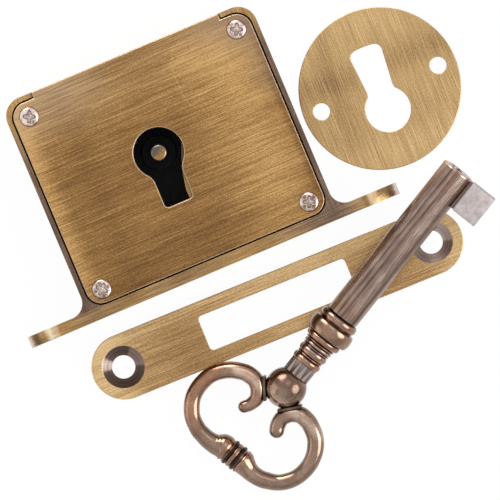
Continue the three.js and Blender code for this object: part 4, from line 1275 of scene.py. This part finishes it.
    def scroll_arm(self, table: Sequence[Triple]) -> Surface:
        """One scroll: a round bar of changing radius along a curve in the bow's plane.

        At each place c on the curve, with the radius r and the normal n, the ring is
        c + r (n cos a + k sin a), where k is square to the bow. The far end closes in a half ball.
        """
        within = self.within_cad
        scale = np.array([-self.bow_reach * within, self.half_width * within, self.wire])
        rows = spline(np.array(table) * scale, 240)
        cap = np.linspace(0, math.pi / 2, 9)[1:]
        ahead = rows[-1, :2] - rows[-2, :2]
        ahead /= np.linalg.norm(ahead)
        tip_radius = rows[-1, 2]
        tip = np.column_stack([rows[-1, :2] + tip_radius * np.sin(cap)[:, None] * ahead,
                               np.maximum(tip_radius * np.cos(cap), 0)])
        rows = np.vstack([rows, tip])
        slope = np.gradient(rows[:, :2], axis=0)
        slope /= np.linalg.norm(slope, axis=1, keepdims=True)
        slope = np.vstack([slope[:1], slope])
        rows = np.vstack([[*rows[0, :2], 0], rows])
        across = np.column_stack([-slope[:, 1], slope[:, 0]])
        angle = circle(40)
        radius = rows[:, 2:3]
        flat = rows[:, None, :2] + across[:, None] * (radius * np.cos(angle))[..., None]
        points = np.concatenate([flat, (radius * np.sin(angle))[..., None]], -1)
        distance = np.linalg.norm(points, axis=-1)
        # Painted shade where the arm meets the ball, and on its flanks and underside.
        near_ball = 1 - smooth(distance, self.ball_radius + 0.25, self.ball_radius + 0.95)
        return Surface.grid(points, np.maximum(near_ball * 0.75, self.flank_shade(np.sin(angle))))

    def ball(self) -> Surface:
        """The ball, a sphere turned about the key's axis."""
        angle = np.linspace(-math.pi / 2, math.pi / 2, 61)
        profile = self.ball_radius * np.column_stack([np.cos(angle), np.sin(angle)])
        made = revolved(profile, self.columns).moved(along_x)
        x, y, z = made.points.T
        aside = np.hypot(x, y)
        off_web = np.abs(np.arctan2(np.abs(y), x) - self.web_angle)
        web = (1 - smooth(off_web, 0.2, 0.42)) * (aside > self.ball_radius * 0.84)
        neck = smooth(x, self.collar_start - 0.35, self.collar_start - 0.1)
        # Painted shade where the webs and the collar meet the ball, and on its flanks and
        # underside.
        patina_and_shade = np.maximum(np.maximum(web, neck) * 0.75, self.flank_shade(z / self.ball_radius, 0.2))
        return Surface(made.points, made.faces, patina_and_shade, made.flat)

    def collar(self) -> Surface:
        """The turned collar: rounded beads between narrow dark grooves.

        A bead from a to b with the radius h and the foot f is r = h (f + (1 - f) sqrt(sin(pi t))),
        with t from 0 at a to 1 at b. Half-way to the next bead is a groove, whose radius is a
        share of the lower bead's.
        """
        share = (1 - np.cos(np.linspace(0, math.pi, 15))) / 2
        swell = np.sqrt(np.clip(np.sin(math.pi * share), 0, 1))
        core = self.neck_radius - self.flute_depth
        rows = [[0, 0, 0], [core, 0, 1]]
        for number, (start, end, height) in enumerate(self.beads):
            crown = self.bulge_radius * height
            if number:
                before, lower = self.beads[number - 1][1:]
                groove = self.bulge_radius * min(height, lower) * self.groove_share
                rows.append([groove, (before + start) / 2, 0.4])
            bead = crown * (self.bead_foot + (1 - self.bead_foot) * swell)
            rows += np.column_stack([bead, start + (end - start) * share,
                                     np.clip(0.4 - swell, 0, 0.3)]).tolist()
        rows += [[rows[-1][0], 1, 1], [0, 1, 1]]
        radius, place, patina_and_shade = np.array(rows).T
        profile = np.column_stack([radius, self.collar_start + self.collar_length * place])
        # Painted shade on the flanks and underside; the grooves' darkening is patina.
        flank = self.flank_shade(-np.cos(circle(self.columns)), 0.1)
        return revolved(profile, self.columns, np.maximum(patina_and_shade[:, None], flank)).moved(along_x)

    def joint(self) -> Surface:
        """The seat between collar and barrel, dark all over."""
        low = self.collar_start + self.collar_length - self.joint_seat
        high = self.barrel_start - self.joint_play
        radius = self.joint_radius
        profile = np.array([(0, low), (radius, low), (radius, high), (0, high)])
        return revolved(profile, 64, 1.0).moved(along_x)

    def neck(self) -> Surface:
        """The fluted neck: r = R - d |cos(6a)|^1.5 carried along the axis."""
        angle = circle(self.flute_count * 12)
        hollow = np.abs(np.cos(angle * self.flute_count / 2)) ** 1.5
        radius = self.neck_radius - self.flute_depth * hollow
        station = self.collar_start + self.neck_length * np.array([0, 0, 0.5, 1, 1])
        reach = np.array([0, 1, 1, 1, 0])[:, None] * radius
        patina_and_shade = np.clip(hollow * 1.5 - 0.9, 0, 0.6)
        return Surface.grid(turned(reach, angle, station[:, None]), patina_and_shade[None]).moved(along_x)

    def ringed_end(self) -> Surface:
        """The bow's far end: a short bar across the axis, its light bead between black rings.

        Each row of the table has a place along the bar, a radius and how dark it is.
        """
        half, radius = self.end_half, self.end_radius
        side = [(0.0, radius - 0.1, 0.0), (0.26, radius - 0.12, 0.0), (0.38, radius - 0.2, 0.3),
                (0.5, radius - 0.3, 0.8), (0.6, radius - 0.12, 0.85), (0.7, radius - 0.02, 0.9),
                (0.95, radius, 0.9), (1.12, radius - 0.02, 0.85), (1.25, radius - 0.1, 0.4),
                (1.36, radius - 0.26, 0.4), (half, radius - 0.3, 0.8), (half, 0.0, 1.0)]
        rows = [(-place, reach, patina_and_shade) for place, reach, patina_and_shade in side[:0:-1]] + side
        table = np.array(rows)
        made = revolved(table[:, [1, 0]], 72, table[:, 2:3])
        return made.moved(lambda p: np.column_stack([
            p[:, 0] + radius - self.bow_reach, -p[:, 2] + self.end_offset, p[:, 1]]))

    def web(self) -> Surface:
        """A thin web between ball and scroll, square to the ball's radius.

        Its section is |x / a|^4 + |y / b|^4 = 1, with the half sizes a and b.
        """
        wave = np.column_stack([np.cos(circle(32)), np.sin(circle(32))])
        plan = np.sign(wave) * np.abs(wave) ** 0.5 * self.web_half
        made = slab(plan, -self.web_reach, self.web_reach, self.web_edge)
        toward = np.array([math.cos(self.web_angle), math.sin(self.web_angle)])
        across = np.array([-toward[1], toward[0]])
        x, y, z = (made.points[:, [axis]] for axis in range(3))
        points = np.hstack([x * across + (y + self.ball_radius) * toward, z])
        # Painted shade over the whole web, which lies between ball and scroll.
        return Surface(points, made.faces, np.full(len(points), 0.7), made.flat)

    def barrel(self) -> Surface:
        """The tube, turned about the axis, with a blind bore at its tip."""
        start, outer, bore = self.barrel_start, self.barrel_radius, self.barrel_bore
        end = start + self.barrel_length
        foot = end - self.bore_depth
        corners = [(0, start), (outer, start), (outer, end), (bore, end), (bore, foot), (0, foot)]
        profile = rounded(corners, (0.12, self.barrel_edge, 0.3, 0.1))
        radius, place = profile.T
        # Painted shade inside the bore, lighter near its mouth, and a dark face towards the collar.
        patina_and_shade = np.where((radius < bore + 0.05) & (place > start + 1), 1.0, 0.0)
        patina_and_shade = np.where(place > end - 3, np.minimum(patina_and_shade, 0.35), patina_and_shade)
        patina_and_shade = np.maximum(patina_and_shade, 0.9 * (place < start + 0.05))
        # Painted shade on the flanks and underside.
        flank = self.flank_shade(-np.cos(circle(self.columns)), 0.12)
        return revolved(profile, self.columns, np.maximum(patina_and_shade[:, None], flank)).moved(along_x)

    def bit(self) -> list[Surface]:
        """Neck and blade of the bit. The blade's end is an arc about the barrel's axis."""
        end = self.barrel_start + self.barrel_length - self.bit_setback
        start = end - self.bit_length
        root = self.barrel_radius + self.bit_neck
        half, neck, edge = self.bit_thickness / 2, self.bit_neck_thickness / 2, self.bit_neck_edge
        spread = math.asin(half / self.bit_radius)
        curve = np.linspace(-spread, spread, 9)
        blade = [(-root, half), (-root, -half)]
        blade += [(-self.bit_radius * math.cos(a), self.bit_radius * math.sin(a)) for a in curve]
        inner, outer = -root - self.bit_neck_overlap, -self.bit_neck_root
        web = [(inner, neck), (inner, -neck), (outer, -neck), (outer, neck)]
        blade_plan, web_plan = (rounded([*plan, *plan[:2]], [corner] * len(plan))[1:-1]
                                for plan, corner in ((blade, self.bit_corner), (web, edge)))
        made = slab(blade_plan, start, end, self.bit_edge)
        # Painted shade on the blade's sides, not on its two faces, and over the neck.
        made.patina_and_shade = np.where(np.abs(made.points[:, 2]) > half - 0.03, 0.0, 0.3)
        joined = slab(web_plan, start + edge, end - edge, edge)
        joined.patina_and_shade = np.full(len(joined.points), 0.4)
        return [made, joined]


# Stage, lights and camera

@dataclass(frozen=True)
class SoftBox:
    """A soft light in the world: where it is, the cosines where it starts to fade and ends."""

    aim: Triple
    inner: float
    outer: float
    gain: float


@dataclass
class Studio:
    """Pale floor, studio light and the camera."""

    aim: Pair = (8.683, -23.507)
    roll: float = math.radians(-22.85)
    plane_height: float = 12.4
    width: float = 500 / 5.33
    distance: float = 3000.0
    clip_end: float = 50.0
    sensor: float = 36.0
    floor_radius: float = 4000.0
    floor_drop: float = 0.02
    floor_shade: float = 0.95
    glow: float = 0.96
    boxes: tuple[SoftBox, ...] = (
        SoftBox((0.08, 0.94, 0.35), 0.978, 0.92, 5.2),
        SoftBox((0.0, 0.74, 0.67), 0.993, 0.96, 1.2),
        SoftBox((0.72, -0.455, 0.53), 0.974, 0.905, 4.2),
        SoftBox((0.36, 0.33, 0.87), 0.992, 0.955, 0.7),
        SoftBox((-0.9, 0.36, 0.28), 0.98, 0.86, 0.7),
    )

    def build(self) -> None:
        """Makes the stage."""
        self.floor()
        self.world()
        self.camera()

    def floor(self) -> None:
        """A round floor that looks white and keeps a faint shadow."""
        mesh = bpy.data.meshes.new("floor")
        ring = turned(np.array([self.floor_radius]), circle(64), np.array([-self.floor_drop]))
        mesh.from_pydata((ring * MM).tolist(), [], [tuple(range(len(ring)))])
        shader = Shader("pale_floor")
        rays = shader.node("LightPath", out="Is Camera Ray")
        nodes = rays.socket.node.outputs
        seen = (rays + Value(shader, nodes["Is Glossy Ray"])
                + Value(shader, nodes["Is Transmission Ray"])).limited()
        plain = shader.node("BsdfDiffuse", None, {"Color": (self.floor_shade,) * 3})
        glow = shader.node("Emission", None, {"Color": (1.0, 1.0, 1.0), "Strength": 1.0})
        both = shader.node("MixShader", None, {0: seen * self.glow, 1: plain, 2: glow})
        mesh.materials.append(shader.ended(both))
        made = bpy.data.objects.new("floor", mesh)
        bpy.context.scene.collection.objects.link(made)

    def world(self) -> None:
        """Studio light: bright above, dimmer half-way down, a pale horizon and soft boxes."""
        shader = Shader("studio", world=True)
        way = shader.node("TexCoord", out="Generated")
        up = shader.split(way)[2]
        level = 0.5 + up.rises(0.3, 0.92) * 0.47 + up.hump(0.3, 0.3) * 0.25
        level = level + (1 - up.rises(0.0, 0.2)) * 0.2
        for box in self.boxes:
            facing = shader.vector("DOT_PRODUCT", way, Vector(box.aim).normalized(), out="Value")
            level = level + facing.rises(box.outer, box.inner) * box.gain
        light = shader.node("Background", None, {"Color": (1.0, 1.0, 1.0), "Strength": level})
        bpy.context.scene.world = shader.ended(light)

    def camera(self) -> None:
        """A long lens straight above, rolled as the photograph is."""
        lens = bpy.data.cameras.new("camera")
        lens.sensor_width = self.sensor
        lens.lens = lens.sensor_width * self.distance / self.width
        lens.clip_end = self.clip_end
        made = bpy.data.objects.new("camera", lens)
        made.location = Vector((*self.aim, self.distance + self.plane_height)) * MM
        made.rotation_euler = (0, 0, self.roll)
        bpy.context.scene.collection.objects.link(made)
        bpy.context.scene.camera = made
        bpy.context.scene.view_settings.view_transform = "Standard"


def main() -> None:
    """Builds the pieces and the stage."""
    logging.basicConfig(level=logging.INFO, format="%(message)s")
    for part in (Studio(), CaseAndCover(), Works(), LoosePlates(), Key()):
        part.build()


if __name__ == "__main__":
    main()
